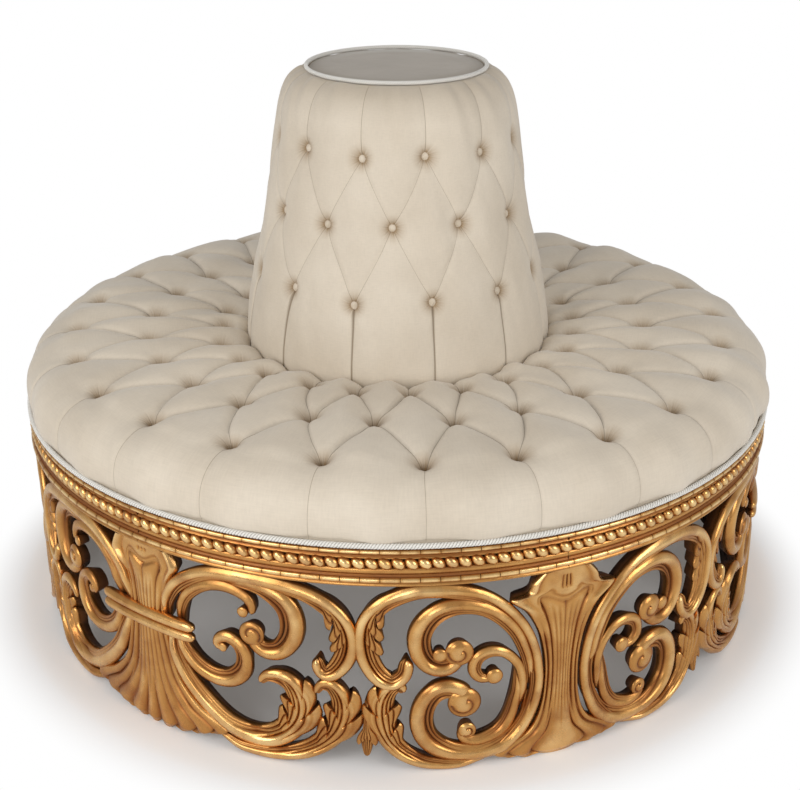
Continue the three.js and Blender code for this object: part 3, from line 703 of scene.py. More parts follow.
TIED_STROKES = (
    Stroke((
        (0.1, 0.62, 20, 0.8), (0.13, 0.74, 26, 0.9), (0.18, 0.83, 28, 0.8), (0.26, 0.9, 28, 0.5),
        (0.36, 0.95, 27, 0.1), (0.48, 0.965, 27, 0), (0.6, 0.965, 27, 0), (0.7, 0.952, 28, 0.1),
        (0.8, 0.92, 30, 0.5), (0.88, 0.865, 33, 1.2), (0.935, 0.79, 36, 1.8), (0.957, 0.7, 38, 2),
        (0.945, 0.615, 38, 2), (0.91, 0.55, 34, 1.8), (0.87, 0.52, 28, 1.4), (0.84, 0.54, 25, 1),
        (0.828, 0.595, 23, 0.7)),
        teeth=(Tooth(9.9, -1, 13, 7), Tooth(10.9, -1, 14, 7), Tooth(11.8, -1, 10, 6))),
    Stroke((
        (0.4, 0.93, 14, 0.3), (0.55, 0.935, 26, 0.5), (0.64, 0.9, 36, 0.9), (0.7, 0.84, 43, 1),
        (0.722, 0.76, 45, 1), (0.712, 0.68, 43, 1), (0.672, 0.618, 38, 1), (0.62, 0.598, 34, 0.9),
        (0.578, 0.61, 32, 0.6), (0.552, 0.643, 31, 0.3), (0.546, 0.675, 30, 0)), 1.5),
    Stroke((
        (0.18, 0.6, 16, 0.6), (0.19, 0.68, 19, 0.6), (0.222, 0.775, 22, 0.5), (0.285, 0.845, 23, 0.3),
        (0.36, 0.885, 23, 0), (0.44, 0.892, 22, 0), (0.51, 0.868, 20, 0), (0.543, 0.825, 17, 0),
        (0.547, 0.775, 12, 0)), 4),
    Stroke((
        (0.175, 0.64, 14, 0.6), (0.185, 0.57, 20, 0.8), (0.21, 0.5, 27, 0.8), (0.255, 0.44, 32, 0.6),
        (0.315, 0.402, 34, 0.5), (0.38, 0.39, 35, 0.6), (0.445, 0.41, 36, 0.8), (0.492, 0.465, 35, 0.9),
        (0.503, 0.535, 31, 0.8), (0.48, 0.597, 26, 0.4), (0.43, 0.628, 23, 0.1), (0.386, 0.61, 19, 0),
        (0.374, 0.575, 14, 0), (0.4, 0.56, 10, 0)), 2),
    Stroke((
        (0.13, 0.58, 20, 0.8), (0.155, 0.47, 28, 0.8), (0.21, 0.35, 33, 0.6), (0.3, 0.24, 36, 0.3),
        (0.4, 0.155, 38, 0.2), (0.5, 0.118, 40, 0.6), (0.6, 0.125, 43, 1.6), (0.685, 0.18, 48, 2.7),
        (0.735, 0.26, 52, 3), (0.745, 0.345, 48, 2.8), (0.72, 0.425, 40, 2.1), (0.67, 0.468, 31, 1.1),
        (0.61, 0.465, 22, 0.7), (0.572, 0.425, 13, 0.4)),
        teeth=(Tooth(8.0, -1, 11, 6, 36), Tooth(9.3, -1, 12, 7, 34), Tooth(8.7, 1, 14, 8, 44),
               Tooth(9.9, 1, 12, 8, 36))),
    Stroke((
        (0.36, 0.07, 12, 0.3), (0.45, 0.045, 18, 0.3), (0.56, 0.036, 21, 0.6), (0.66, 0.045, 25, 0.9),
        (0.76, 0.08, 32, 2), (0.84, 0.135, 40, 3), (0.9, 0.21, 46, 3), (0.928, 0.3, 46, 2.8),
        (0.925, 0.385, 38, 2.2), (0.89, 0.45, 28, 1.4), (0.845, 0.455, 19, 0.9), (0.818, 0.41, 12, 0.4)), 1,
        (Tooth(6.1, -1, 11, 6, 36), Tooth(7.4, -1, 12, 6, 34), Tooth(7.0, 1, 15, 9, 44),
         Tooth(8.1, 1, 14, 9, 36))),
    Stroke((
        (1.03, 0.38, 6, 1), (1.031, 0.3, 8, 2), (1.032, 0.235, 13, 3), (1.033, 0.175, 23, 3),
        (1.032, 0.12, 17, 3), (1.031, 0.078, 8, 3)), 4,
        (Tooth(3.4, 1, 7, 5, 26), Tooth(3.4, -1, 7, 5, 26))),
)
TIED_EYES = (Eye(0.545, 0.678, 22, -0.5, 150, -1), Eye(0.507, 0.782, 9.5, 4), Eye(0.404, 0.568, 8, 4))


class Hand(Enum):
    """Whether a panel runs on from its plain pilaster with the bearing, or back."""

    ONWARD = 1
    BACKWARD = -1


def cusps(value: Array, lines: Sequence[float], width: float) -> Array:
    """Give 1 on each line, falling off sharply beside it, as a carved V cut does."""
    value = np.asarray(value, float)
    return np.exp(-np.min([np.abs(value - line) for line in lines], axis=0) / width)


def arches(value: Array, lines: Sequence[float]) -> Array:
    """Rise in a round arch from 0 on each line to 1 midway to the next.

    Args:
        value: where to measure it.
        lines: the lines' places, growing.

    Returns:
        The rise at each value.
    """
    lines = np.asarray(lines, float)
    cell = np.clip(np.searchsorted(lines, value, "right") - 1, 0, len(lines) - 2)
    share = (value - lines[cell]) / (lines[cell + 1] - lines[cell])
    return np.sqrt(np.clip(1 - (2 * share - 1) ** 2, 0, 1))


@dataclass(frozen=True)
class Section:
    """Cross-sections of the carver's four cuts, from the inner edge of a stroke to its outer one."""

    across = np.array([
        -1, -0.95, -0.88, -0.8, -0.72, -0.66, -0.62, -0.58, -0.5, -0.42, -0.38, -0.34, -0.3, -0.2, -0.1,
        -0.04, 0, 0.04, 0.12, 0.22, 0.32, 0.38, 0.44, 0.55, 0.66, 0.74, 0.82, 0.9, 0.96, 1])
    cove_lines = (-0.62, -0.34)
    flute_lines = (-0.62, -0.34, 0.0, 0.38)
    vein_lines = (-0.82, -0.48, -0.17, 0.19, 0.66)
    leaf_line = (-0.04,)  # between a leaf's flutes and its round side
    crest_at = 0.33  # middle of a scroll's round crest, beside its cove
    round_at = 0.46  # middle of a leaf's round side
    edge_from = 0.76  # where a band's slopes turn into its edges

    def crown(self, t: Array, slope: float, edge: float) -> Array:
        """Give the depth of a band with broad slopes and tight edges; t is 0 on its crest, 1 at an edge."""
        turned = np.clip((np.abs(t) - self.edge_from) / (1 - self.edge_from), 0, 1)
        return slope * np.abs(t) ** 1.5 + edge * (1 - np.sqrt(1 - 0.98 * turned**2))

    def depths(self) -> Array:
        """Give the depth of each cut, as shares of the half width."""
        s = self.across
        roll = self.crown(s, 0.5, 0.42)
        crest = self.crown((s - self.crest_at) / (1 - self.crest_at), 0.38, 0.4)
        cove = np.interp(s, [-1, -0.95, -0.88, -0.72, -0.6, -0.45, -0.34],
                         [0.8, 0.5, 0.36, 0.44, 0.53, 0.57, 0.53])
        scroll = np.where(s > -0.31, crest, cove) + 0.12 * cusps(s, self.cove_lines, 0.03)
        ends = np.clip((np.abs(s) - 0.2) / 0.8, 0, 1)
        flutes = 0.05 + 0.62 * (1 - np.sqrt(1 - 0.97 * ends**2)) + 0.22 * cusps(s, self.flute_lines, 0.08)
        round_ = 0.6 * (1 - np.sqrt(np.clip(1 - ((s - self.round_at) / 0.55) ** 2, 0, 1)))
        leaf = np.where(s > -0.05, round_, flutes + 0.12) + 0.16 * cusps(s, self.leaf_line, 0.05)
        return np.stack([roll, scroll, leaf, flutes])

    def relief_shades(self) -> Array:
        """Give the painted shade of the same sections, from 0, darkest, in a cut to 1, a painted highlight,
        on a ridge.
        """
        s = self.across
        roll = 0.88 - 0.26 * s**2
        crest = 0.89 - 0.28 * ((s - self.crest_at) / 0.68) ** 2
        scroll = np.where(s > -0.31, crest, 0.5) - 0.5 * cusps(s, self.cove_lines, 0.05)
        veins = 0.5 * cusps(s, self.flute_lines, 0.05) + 0.14 * cusps(s, self.vein_lines, 0.03)
        flutes = 0.9 - 0.2 * np.abs(s) ** 3 - veins
        round_ = 0.9 - 0.28 * ((s - self.round_at) / 0.55) ** 2
        leaf = np.where(s > -0.05, round_, flutes - 0.1) - 0.5 * cusps(s, self.leaf_line, 0.04)
        return np.clip(np.stack([roll, scroll, leaf, flutes]), 0, 1)

    def blend(self, cut: Array) -> tuple[Array, Array]:
        """Blend the cuts.

        Args:
            cut: how far each place has turned from a roll (0) to flutes (3).

        Returns:
            Depth as a share of the half width, and relief.
        """
        cut = np.clip(cut, 0, 3)
        low = np.minimum(cut.astype(int), 2)
        share = cut - low
        column = np.arange(len(self.across))
        depth, relief_shade = (
            kinds[low, column] * (1 - share) + kinds[low + 1, column] * share
            for kinds in (self.depths(), self.relief_shades()))
        return depth, relief_shade


@dataclass(frozen=True)
class Carving:
    """The openwork ring: six panels between three plain and three tied pilasters."""

    ridge_radius: float = 0.696
    back_radius: float = 0.664
    knob_back: float = 0.67
    height: float = 0.3508
    plain_half: float = BAY_ANGLE * 0.466
    step: float = 0.0042
    inner_limit: float = 0.9  # share of a bend's radius that its inner side may fill
    swept: float = 0.06  # length over which a leaf's lobes sweep back to its middle
    sunk: float = 0.009  # how deep a stroke starts inside the one that it grows from
    undercut: float = 0.009  # how far the walls lean in towards a stroke's middle on their way back
    most_lean: float = 0.6  # share of a stroke's half width that they lean at most
    deepest: float = 0.016
    narrowest: float = 3.0  # mm
    blunt_tip: float = 0.08  # share of its width that a stroke keeps at its very end
    notch: float = 0.0048  # how deep the leaf is cut past a lobe's tip
    lobe_rise: float = 0.0018  # how far a lobe's tip stands up
    shadow: float = 0.009  # length over which that cut fades
    doming: float = 0.42  # a knob's rise as a share of its radius
    stem: float = 0.25  # share of its radius that a knob loses towards its back
    groove_turn: float = 4.4  # radians that its curled groove runs round
    section: Section = Section()
    walls: tuple = ((0.1, 0.3), (0.45, 0.08), (1.0, 0.0))  # shares of the way back, and their relief: painted shade, darker further back

    @property
    def tied_half(self) -> float:
        """Angle from the contact of two scrolls to their tied pilaster."""
        return BAY_ANGLE - self.plain_half

    def close(self, x: Array, z: Array, depth: Array, relief_shade: Array, shells: Shells) -> None:
        """Give a carved face its side walls and back, and add it.

        Args:
            x: the face's bearings by row and place across.
            z: its heights.
            depth: its way behind the ridges.
            relief_shade: how exposed it is.
            shells: receives the closed shell.
        """
        rings = [polar(x, self.ridge_radius - depth, z)]
        tones = [relief_shade]
        middle = x.shape[1] // 2
        for edge, walls in ((-1, self.walls), (0, self.walls[::-1])):
            aside, down = x[:, middle] - x[:, edge], z[:, middle] - z[:, edge]
            half = np.hypot(aside * self.ridge_radius, down)
            lean = np.minimum(self.undercut / np.maximum(half, 1e-6), self.most_lean)
            for share, dark in walls:
                radius = (self.ridge_radius - depth[:, edge]) * (1 - share) + self.back_radius * share
                inward = lean * share
                ring = polar(x[:, edge] + aside * inward, radius, z[:, edge] + down * inward)
                rings.append(ring[:, None])
                # Painted shade on the walls, darker the further back they reach.
                tones.append(np.minimum(relief_shade[:, edge], dark)[:, None])
        shells.add_tube(np.concatenate(rings, axis=1), np.clip(np.concatenate(tones, axis=1), 0, 1))

    def sweep(self, stroke: Stroke, place: Callable[[Array], Array], shells: Shells) -> None:
        """Carve one stroke along its path.

        Args:
            stroke: its path, widths and cuts.
            place: turns shares into bearing and height.
            shells: receives the stroke.
        """
        across = self.section.across
        table = np.array(stroke.points, float)
        flat = place(table[:, :2]) * [self.ridge_radius, 1]
        count = np.linspace(0, len(table) - 1, 40 * len(table))
        dense = spline(np.column_stack([flat, table[:, 2:]]), count)
        run = np.concatenate([[0], np.cumsum(np.hypot(*np.diff(dense[:, :2], axis=0).T))])
        length = run[-1]
        cap = 0.5 * dense[[0, -1], 2] * MM
        tips = [float(np.interp(tooth.at, count, run)) for tooth in stroke.teeth]
        marks = self.marks(length, cap, tips)
        tangent = np.gradient(dense[:, :2], run, axis=0)
        heading = np.unwrap(np.arctan2(tangent[:, 1], tangent[:, 0]))
        bends = np.gradient(heading, run)
        lag = self.sweep_back(marks, length, stroke.teeth, tips)
        way = marks[:, None] + lag[:, None] * (1 - np.abs(across)) ** 1.4
        x, z, width, cut, angle, bend = (np.interp(way, run, values) for values in (*dense.T, heading, bends))
        ahead = np.stack([np.cos(angle), np.sin(angle)], axis=-1)
        outer = -np.sign(heading[-1] - heading[0]) or 1.0
        side = outer * np.stack([-ahead[..., 1], ahead[..., 0]], axis=-1)
        half = np.clip(width, self.narrowest, None) * MM / 2
        blunt = np.clip(np.minimum(marks / cap[0], (length - marks) / cap[1]), 0, 1)
        rounding = np.sqrt(np.clip(1 - (1 - blunt) ** 2, 0, 1))[:, None]
        reach = across * half * np.maximum(rounding, self.blunt_tip)
        limit = self.inner_limit / np.maximum(np.abs(bend), 1e-6)
        reach = np.where(np.sign(bend) * outer < 0, np.maximum(reach, -limit), np.minimum(reach, limit))
        share, relief_shade = self.section.blend(cut)
        depth = share * half
        lean = np.zeros_like(reach)
        for tooth, tip in zip(stroke.teeth, tips):
            out, on, deeper, darker = self.lobe(tooth, tip, marks)
            reach, lean, depth, relief_shade = reach + out, lean + on, depth + deeper, relief_shade - darker
        start = marks if stroke.root == 0 else length - marks
        rooted = self.sunk * (1 - smooth(0, 0.05, start)) + 0.0025 * smooth(length - 0.04, length, start)
        depth = np.clip(depth, 0, self.deepest) + 0.7 * half * (1 - rounding) + stroke.level * MM
        depth = depth + rooted[:, None]
        at = np.stack([x, z], axis=-1) + side * reach[..., None] + ahead * lean[..., None]
        height = np.clip(at[..., 1], LIFTED, self.height)
        # Strokes set further back get painted shade, 0.03 darker per millimetre.
        self.close(at[..., 0] / self.ridge_radius, height, depth, relief_shade - 0.03 * stroke.level, shells)

    def marks(self, length: float, cap: Array, tips: Sequence[float]) -> Array:
        """Lay the rows of points along a stroke, close at its ends and beside its lobes' tips.

        Args:
            length: of the stroke.
            cap: lengths of its two rounded ends.
            tips: the lobes' places along it.

        Returns:
            The rows' places along the stroke.
        """
        inside = np.linspace(0, length, max(int(length / self.step), 8))
        ends = np.array([0, 0.06, 0.18, 0.36, 0.6])
        return np.unique(np.concatenate([
            ends * cap[0], inside[(inside > cap[0]) & (inside < length - cap[1])], length - ends * cap[1],
            [tip + way for tip in tips for way in (-0.0003, 0.0003, -0.0022, 0.0022)]]))

    def lobe(self, tooth: Tooth, tip: float, marks: Array) -> tuple[Array, Array, Array, Array]:
        """Work out what a lobe changes on its leaf.

        Args:
            tooth: the lobe.
            tip: its place along the stroke.
            marks: the rows' places.

        Returns:
            How far it reaches out, hooks on and deepens the face, and the painted shadow that it puts past
            its tip.
        """
        behind = ((tip - marks) * math.copysign(1, tooth.lean))[:, None]
        grown = np.clip(1 - behind / (tooth.length * MM), 0, 1) * (behind > 0)
        swollen = (1 - (1 - grown) ** 2) * np.sqrt(1 - 0.75 * np.clip((grown - 0.72) / 0.28, 0, 1) ** 2)
        weight = np.clip(tooth.side * self.section.across, 0, 1)[None, :]
        past = np.exp(np.minimum(behind, 0) / self.shadow) * (behind <= 0)
        beyond = past * np.clip(weight * 1.7 - 0.4, 0, 1)
        out = tooth.side * swollen * weight**1.5 * tooth.reach * MM
        on = grown**2 * weight**2 * tooth.lean * MM
        # The last value is painted shadow in the notch past the tip.
        return out, on, self.notch * beyond - self.lobe_rise * grown**2 * weight, 0.75 * beyond**2

    def sweep_back(self, marks: Array, length: float, teeth: Sequence[Tooth],
                   tips: Sequence[float]) -> Array:
        """Tell how far each row's middle lags behind its ends, which sweeps a leaf's lobes back.

        Args:
            marks: the rows' places along the stroke.
            length: of the stroke.
            teeth: its lobes.
            tips: the lobes' places along it.

        Returns:
            The lag by row, in metres.
        """
        if not tips:
            return np.zeros_like(marks)
        ease = min(self.swept, length - max(tips) - 0.003, min(tips) - 0.003)
        zone = smooth(min(tips) - ease, min(tips), marks) * (1 - smooth(max(tips), max(tips) + ease, marks))
        return -math.copysign(0.55 * ease, teeth[0].lean) * zone

    def knob(self, eye: Eye, place: Callable[[Array], Array], hand: float, shells: Shells) -> None:
        """Carve the round end of a scroll, with its stem to the back.

        Args:
            eye: its place and size.
            place: turns shares into bearing and height.
            hand: which way the bearing grows with the shares.
            shells: receives the knob.
        """
        bearing, height = place(np.array([[eye.along, eye.up]]))[0]
        turn = np.linspace(0, TURN, 44, endpoint=False)[None, :]
        share = np.append(np.linspace(0.04, 0.94, 19), [0.98, 1.0])[:, None]
        drop = self.doming * (1 - np.sqrt(1 - 0.98 * share**2)) * eye.radius * MM + 0 * turn
        groove = np.zeros_like(drop)
        if eye.comma:
            swept = (eye.turn * turn - math.radians(eye.comma)) % (TURN)
            spiral = 0.28 + 0.5 * swept / self.groove_turn
            groove = np.exp(-np.abs(share - spiral) / 0.09) * (swept < self.groove_turn)
        depth = drop + 0.0036 * groove + eye.level * MM
        # Painted shade darkens the knob towards its edge and in its curled groove.
        relief_shade = 0.84 - 0.24 * share**3 - 0.7 * groove
        x = bearing + hand * share * eye.radius * MM * np.cos(turn) / self.ridge_radius
        z = np.clip(height + share * eye.radius * MM * np.sin(turn), LIFTED, self.height)
        rings = [polar(x, self.ridge_radius - depth, z)]
        tones = [relief_shade]
        rim_x, rim_z, rim = x[-1:], z[-1:], self.ridge_radius - depth[-1:]
        for way_back, dark in self.walls:
            radius = rim * (1 - way_back) + self.knob_back * way_back
            inward = self.stem * way_back
            rings.append(polar(rim_x + inward * (bearing - rim_x), radius, rim_z + inward * (height - rim_z)))
            tones.append(np.full((1, turn.size), dark))
        shells.add_tube(np.concatenate(rings), np.clip(np.concatenate(tones), 0, 1))

    def panel(self, hand: Hand) -> Shells:
        """Carve the openwork of one bay from its plain pilaster at bearing zero.

        Args:
            hand: which way the bay runs.

        Returns:
            The bay's strokes and knobs.
        """
        scale = np.array([1, self.height])
        shells = Shells()

        def plain(shares: Array) -> Array:
            """Place shares that are counted from the plain pilaster."""
            return shares * scale * [hand.value * self.plain_half, 1]

        def tied(shares: Array) -> Array:
            """Place shares that are counted from the tied pilaster."""
            return shares * scale * [-hand.value * self.tied_half, 1] + [hand.value * BAY_ANGLE, 0]

        halves = ((PLAIN_STROKES, PLAIN_EYES, plain, 1), (TIED_STROKES, TIED_EYES, tied, -1))
        for strokes, eyes, place, way in halves:
            for stroke in strokes:
                self.sweep(stroke, place, shells)
            for eye in eyes:
                self.knob(eye, place, way * hand.value, shells)
        return shells

    def build(self, finishes: Finishes) -> None:
        """Make the six panels and six pilasters.

        Args:
            finishes: the sofa's materials.
        """
        plain = PlainPilaster(self, self.plain_half).shells()
        tied = TiedPilaster(self, self.tied_half).shells()
        panels = {hand: self.panel(hand) for hand in Hand}
        for pair in range(BAYS // 2):
            made = (
                ("carved_plain_pilaster", "plain_pilaster", pair + 1, plain, 0),
                ("carved_tied_pilaster", "tied_pilaster", pair + 1, tied, 1),
                ("carved_panel", "scroll_panel", 2 * pair + 1, panels[Hand.ONWARD], 0),
                ("carved_panel", "scroll_panel", 2 * pair + 2, panels[Hand.BACKWARD], 2),
            )
            for name, node, number, shells, bays_on in made:
                piece = shells.piece(f"{name}_{number}", (2 * pair + bays_on) * BAY_ANGLE)
                settle(piece, finishes.gilt, [f"{node}_{number}"])


@dataclass(frozen=True)
class Pilaster:
    """A fluted pilaster with a waved crown and a lobed foot.

    Its outline is shares of its height and of the half bay.
    """

    carving: Carving
    half_angle: float  # the half bay that the outline's shares are of
    outline: tuple = ()
    rows: int = 150
    columns: int = 121
    cut_lines = (-0.11, 0.0, 0.11)
    flute_lines: tuple = ()
    vein_lines: tuple = ()  # finer than the flutes
    foot_lines: tuple = ()
    panel_side: float = 0.54  # where the outer ribs begin, which rise into the crown
    ear_at: float = 0.87  # where the crown's ends roll forward
    ear_stand: float = 0.0058
    set_back: float = 0.0028  # of the crown's middle behind the ridges
    hem: float = 0.85
    hem_wave: float = 0.022
    hem_drop: float = 0.05  # how far the crown's lower edge comes down in the panel's corners
    hem_turns: float = 1.15  # waves of the crown's lower edge from the middle to a side
    step: float = 0.0045  # how far the crown stands over the shaft
    bow: float = 0.004  # how far its sides lie behind its middle
    flute_rise: float = 0.0042
    lobe_rise: float = 0.0062
    foot_round: float = 0.006
    scallop: float = 0.02  # how far the foot's edge is cut up between its lobes
    side_rise: float = 0.02  # how much higher the foot's edge ends at the sides

    def face(self, s: Array, up: Array) -> tuple[Array, Array]:
        """Give the depth and relief of the pilaster's face.

        Args:
            s: places across, from -1 to 1.
            up: shares of its height.

        Returns:
            Depth behind the ridges in metres, and relief.
        """
        side = np.abs(s)
        panel = 1 - smooth(self.panel_side, self.panel_side + 0.08, side)
        over = (up - self.hem + self.hem_wave * np.cos(TURN * self.hem_turns * s)
                + self.hem_drop * smooth(self.panel_side - 0.16, self.panel_side + 0.04, side) ** 2)
        edge = smooth(-0.004, 0.004, over)
        crown = panel * edge + (1 - panel) * smooth(-0.22, 0.02, over)
        under = np.exp(np.clip(over, None, 0) / 0.012) * (1 - edge) * panel
        shaft = smooth(0.1, 0.34, up)
        parts = ((crown, self.crown(s, up, over, panel)), ((1 - crown) * shaft, self.shaft(s, up, under)),
                 ((1 - crown) * (1 - shaft), self.foot(s, up)))
        depth, relief_shade = (sum(share * made[i] for share, made in parts) for i in range(2))
        # Painted shade darkens the face towards its sides.
        return np.clip(depth + self.bow * s**2, 0, None), relief_shade - 0.1 * s**2

    def crown(self, s: Array, up: Array, over: Array, panel: Array) -> tuple[Array, Array]:
        """Give the depth and relief of the waved crown.

        Args:
            s: places across, from -1 to 1.
            up: shares of the height.
            over: way over the crown's lower edge, a share of the height.
            panel: 1 in the sunk panel, 0 on the ribs beside it.

        Returns:
            Depth and relief.
        """
        side = np.abs(s)
        tall = smooth(self.hem + 0.05, self.hem + 0.06, up) * (1 - smooth(0.965, 0.975, up))
        cuts = cusps(s, self.cut_lines, 0.02) * tall
        lip = np.clip(1 - over / 0.03, 0, 1) ** 2 * panel
        rim = np.exp(-(((over - 0.03) / 0.006) ** 2)) * panel
        ear = np.exp(-(((side - self.ear_at) / 0.1) ** 2)) * smooth(self.hem - 0.12, self.hem, up)
        crease = cusps(side, (self.ear_at - 0.15,), 0.03) * smooth(self.hem - 0.06, self.hem, up)
        depth = (self.set_back + 0.0035 * cuts + 0.003 * lip + 0.0012 * rim + 0.001 * crease
                 - self.ear_stand * ear)
        # Painted shade in the cuts, rim, lip and crease; a painted highlight on the ears.
        return depth, 0.84 - 0.7 * cuts - 0.35 * rim - 0.2 * lip + 0.14 * ear - 0.25 * crease

    def shaft(self, s: Array, up: Array, under: Array) -> tuple[Array, Array]:
        """Give the depth and relief of the fluted shaft.

        Args:
            s: places across, from -1 to 1.
            up: shares of the height.
            under: how near a place lies under the crown's edge, from 0 to 1.

        Returns:
            Depth and relief.
        """
        long_veins = smooth(0.2, 0.3, up) * (1 - smooth(0.74, 0.84, up))
        veins = np.maximum(cusps(s, self.vein_lines, 0.028) * long_veins, cusps(s, (0.0,), 0.028))
        cuts = np.maximum(cusps(s, self.flute_lines, 0.045), 0.8 * veins)
        rise = self.flute_rise * arches(s, (-1, *self.flute_lines, 1))
        # Painted shade in the flutes' cuts, and a painted shadow under the crown's edge.
        return self.step + 0.0025 - rise + 0.0016 * cuts + 0.003 * under, 0.83 - 0.55 * cuts - 0.4 * under

    def foot(self, s: Array, up: Array) -> tuple[Array, Array]:
        """Give the depth and relief of the lobed foot.

        Args:
            s: places across, from -1 to 1.
            up: shares of the height.

        Returns:
            Depth and relief.
        """
        cuts = cusps(s, self.foot_lines, 0.05)
        rise = self.lobe_rise * arches(s, (-1, *self.foot_lines, 1))
        depth = 0.0065 - rise + 0.001 * cuts + self.foot_round * (1 - smooth(0, 0.035, up))
        # Painted shade in the cuts between the lobes.
        return depth, 0.86 - 0.6 * cuts + 0 * up

    def shells(self) -> Shells:
        """Carve the pilaster at bearing zero."""
        up = np.linspace(0, 1, self.rows)[:, None]
        s = np.linspace(-1, 1, self.columns)[None, :]
        table = np.array(self.outline)
        dense = spline(table, np.linspace(0, len(table) - 1, 400))
        half = np.interp(up[:, 0], dense[:, 0], dense[:, 1])[:, None] * self.half_angle
        depth, relief_shade = self.face(s + 0 * up, up + 0 * s)
        depth = depth + np.clip((np.abs(s) - 0.93) / 0.07, 0, 1) ** 2 * 0.004
        scallop = self.scallop * (1 - arches(s, (-1, *self.foot_lines, 1))) * np.clip(1 - up / 0.15, 0, 1)
        scallop = scallop + self.side_rise * np.abs(s) ** 2.5 * np.clip(1 - up / 0.35, 0, 1)
        height = np.clip((up + scallop) * self.carving.height, LIFTED, self.carving.height)
        shells = Shells()
        self.carving.close(half * s, height, depth, relief_shade, shells)
        return shells


@dataclass(frozen=True)
class PlainPilaster(Pilaster):
    """The pilaster between two panels that start from it."""

    outline: tuple = (
        (0, 0.3), (0.03, 0.355), (0.07, 0.3), (0.13, 0.19), (0.2, 0.135), (0.3, 0.105), (0.4, 0.095),
        (0.5, 0.095), (0.6, 0.11), (0.7, 0.14), (0.8, 0.2), (0.86, 0.275), (0.882, 0.275), (0.9, 0.2),
        (0.95, 0.175), (1, 0.13))
    flute_lines: tuple = (-0.79, -0.54, 0.54, 0.79)
    vein_lines: tuple = (-0.32, -0.16, 0.16, 0.32)
    foot_lines: tuple = (-0.76, -0.42, 0.42, 0.76)


@dataclass(frozen=True)
class TiedPilaster(Pilaster):
    """The pilaster whose scrolls are tied by two rolls; it fans out below them."""

    outline: tuple = (
        (0, 0.36), (0.03, 0.42), (0.08, 0.37), (0.15, 0.28), (0.25, 0.2), (0.35, 0.155), (0.5, 0.12),
        (0.6, 0.105), (0.7, 0.11), (0.8, 0.13), (0.87, 0.17), (0.91, 0.195), (0.95, 0.185), (1, 0.16))
    flute_lines: tuple = (-0.78, -0.52, 0.52, 0.78)
    vein_lines: tuple = (-0.34, -0.17, 0.17, 0.34)
    foot_lines: tuple = (-0.8, -0.58, -0.34, -0.1, 0.1, 0.34, 0.58, 0.8)
    scallop: float = 0.03
    side_rise: float = 0.07
    ear_stand: float = 0.0095
    set_back: float = 0.006
    hem: float = 0.9
    hem_wave: float = 0.018
    rolls: tuple = (0.63, 0.576)
    roll_radius: float = 0.0098
    roll_back: float = 0.0052  # of the rolls' middle behind the ridges
    tie_reach: float = 0.272

    def shells(self) -> Shells:
        """Carve the pilaster and its tie at bearing zero."""
        shells = super().shells()
        reach = self.tie_reach * self.half_angle
        bearing = np.linspace(-reach, reach, 60)[:, None]
        end = np.sqrt(np.clip(1 - np.abs(bearing / reach) ** 16, 0.03, 1))
        turn = np.linspace(0, TURN, 20, endpoint=False)[None, :]
        for share in self.rolls:
            radius = self.carving.ridge_radius - self.roll_back + self.roll_radius * end * np.cos(turn)
            height = share * self.carving.height + self.roll_radius * end * np.sin(turn)
            section = polar(bearing + 0 * turn, radius, height)
            # Painted light and shade: the rolls are lighter where they face out, darker above, below and
            # behind.
            shells.add_tube(section, np.clip(0.5 + 0.34 * np.cos(turn) + 0 * bearing, 0, 1))
        return shells


# Geometry node trees


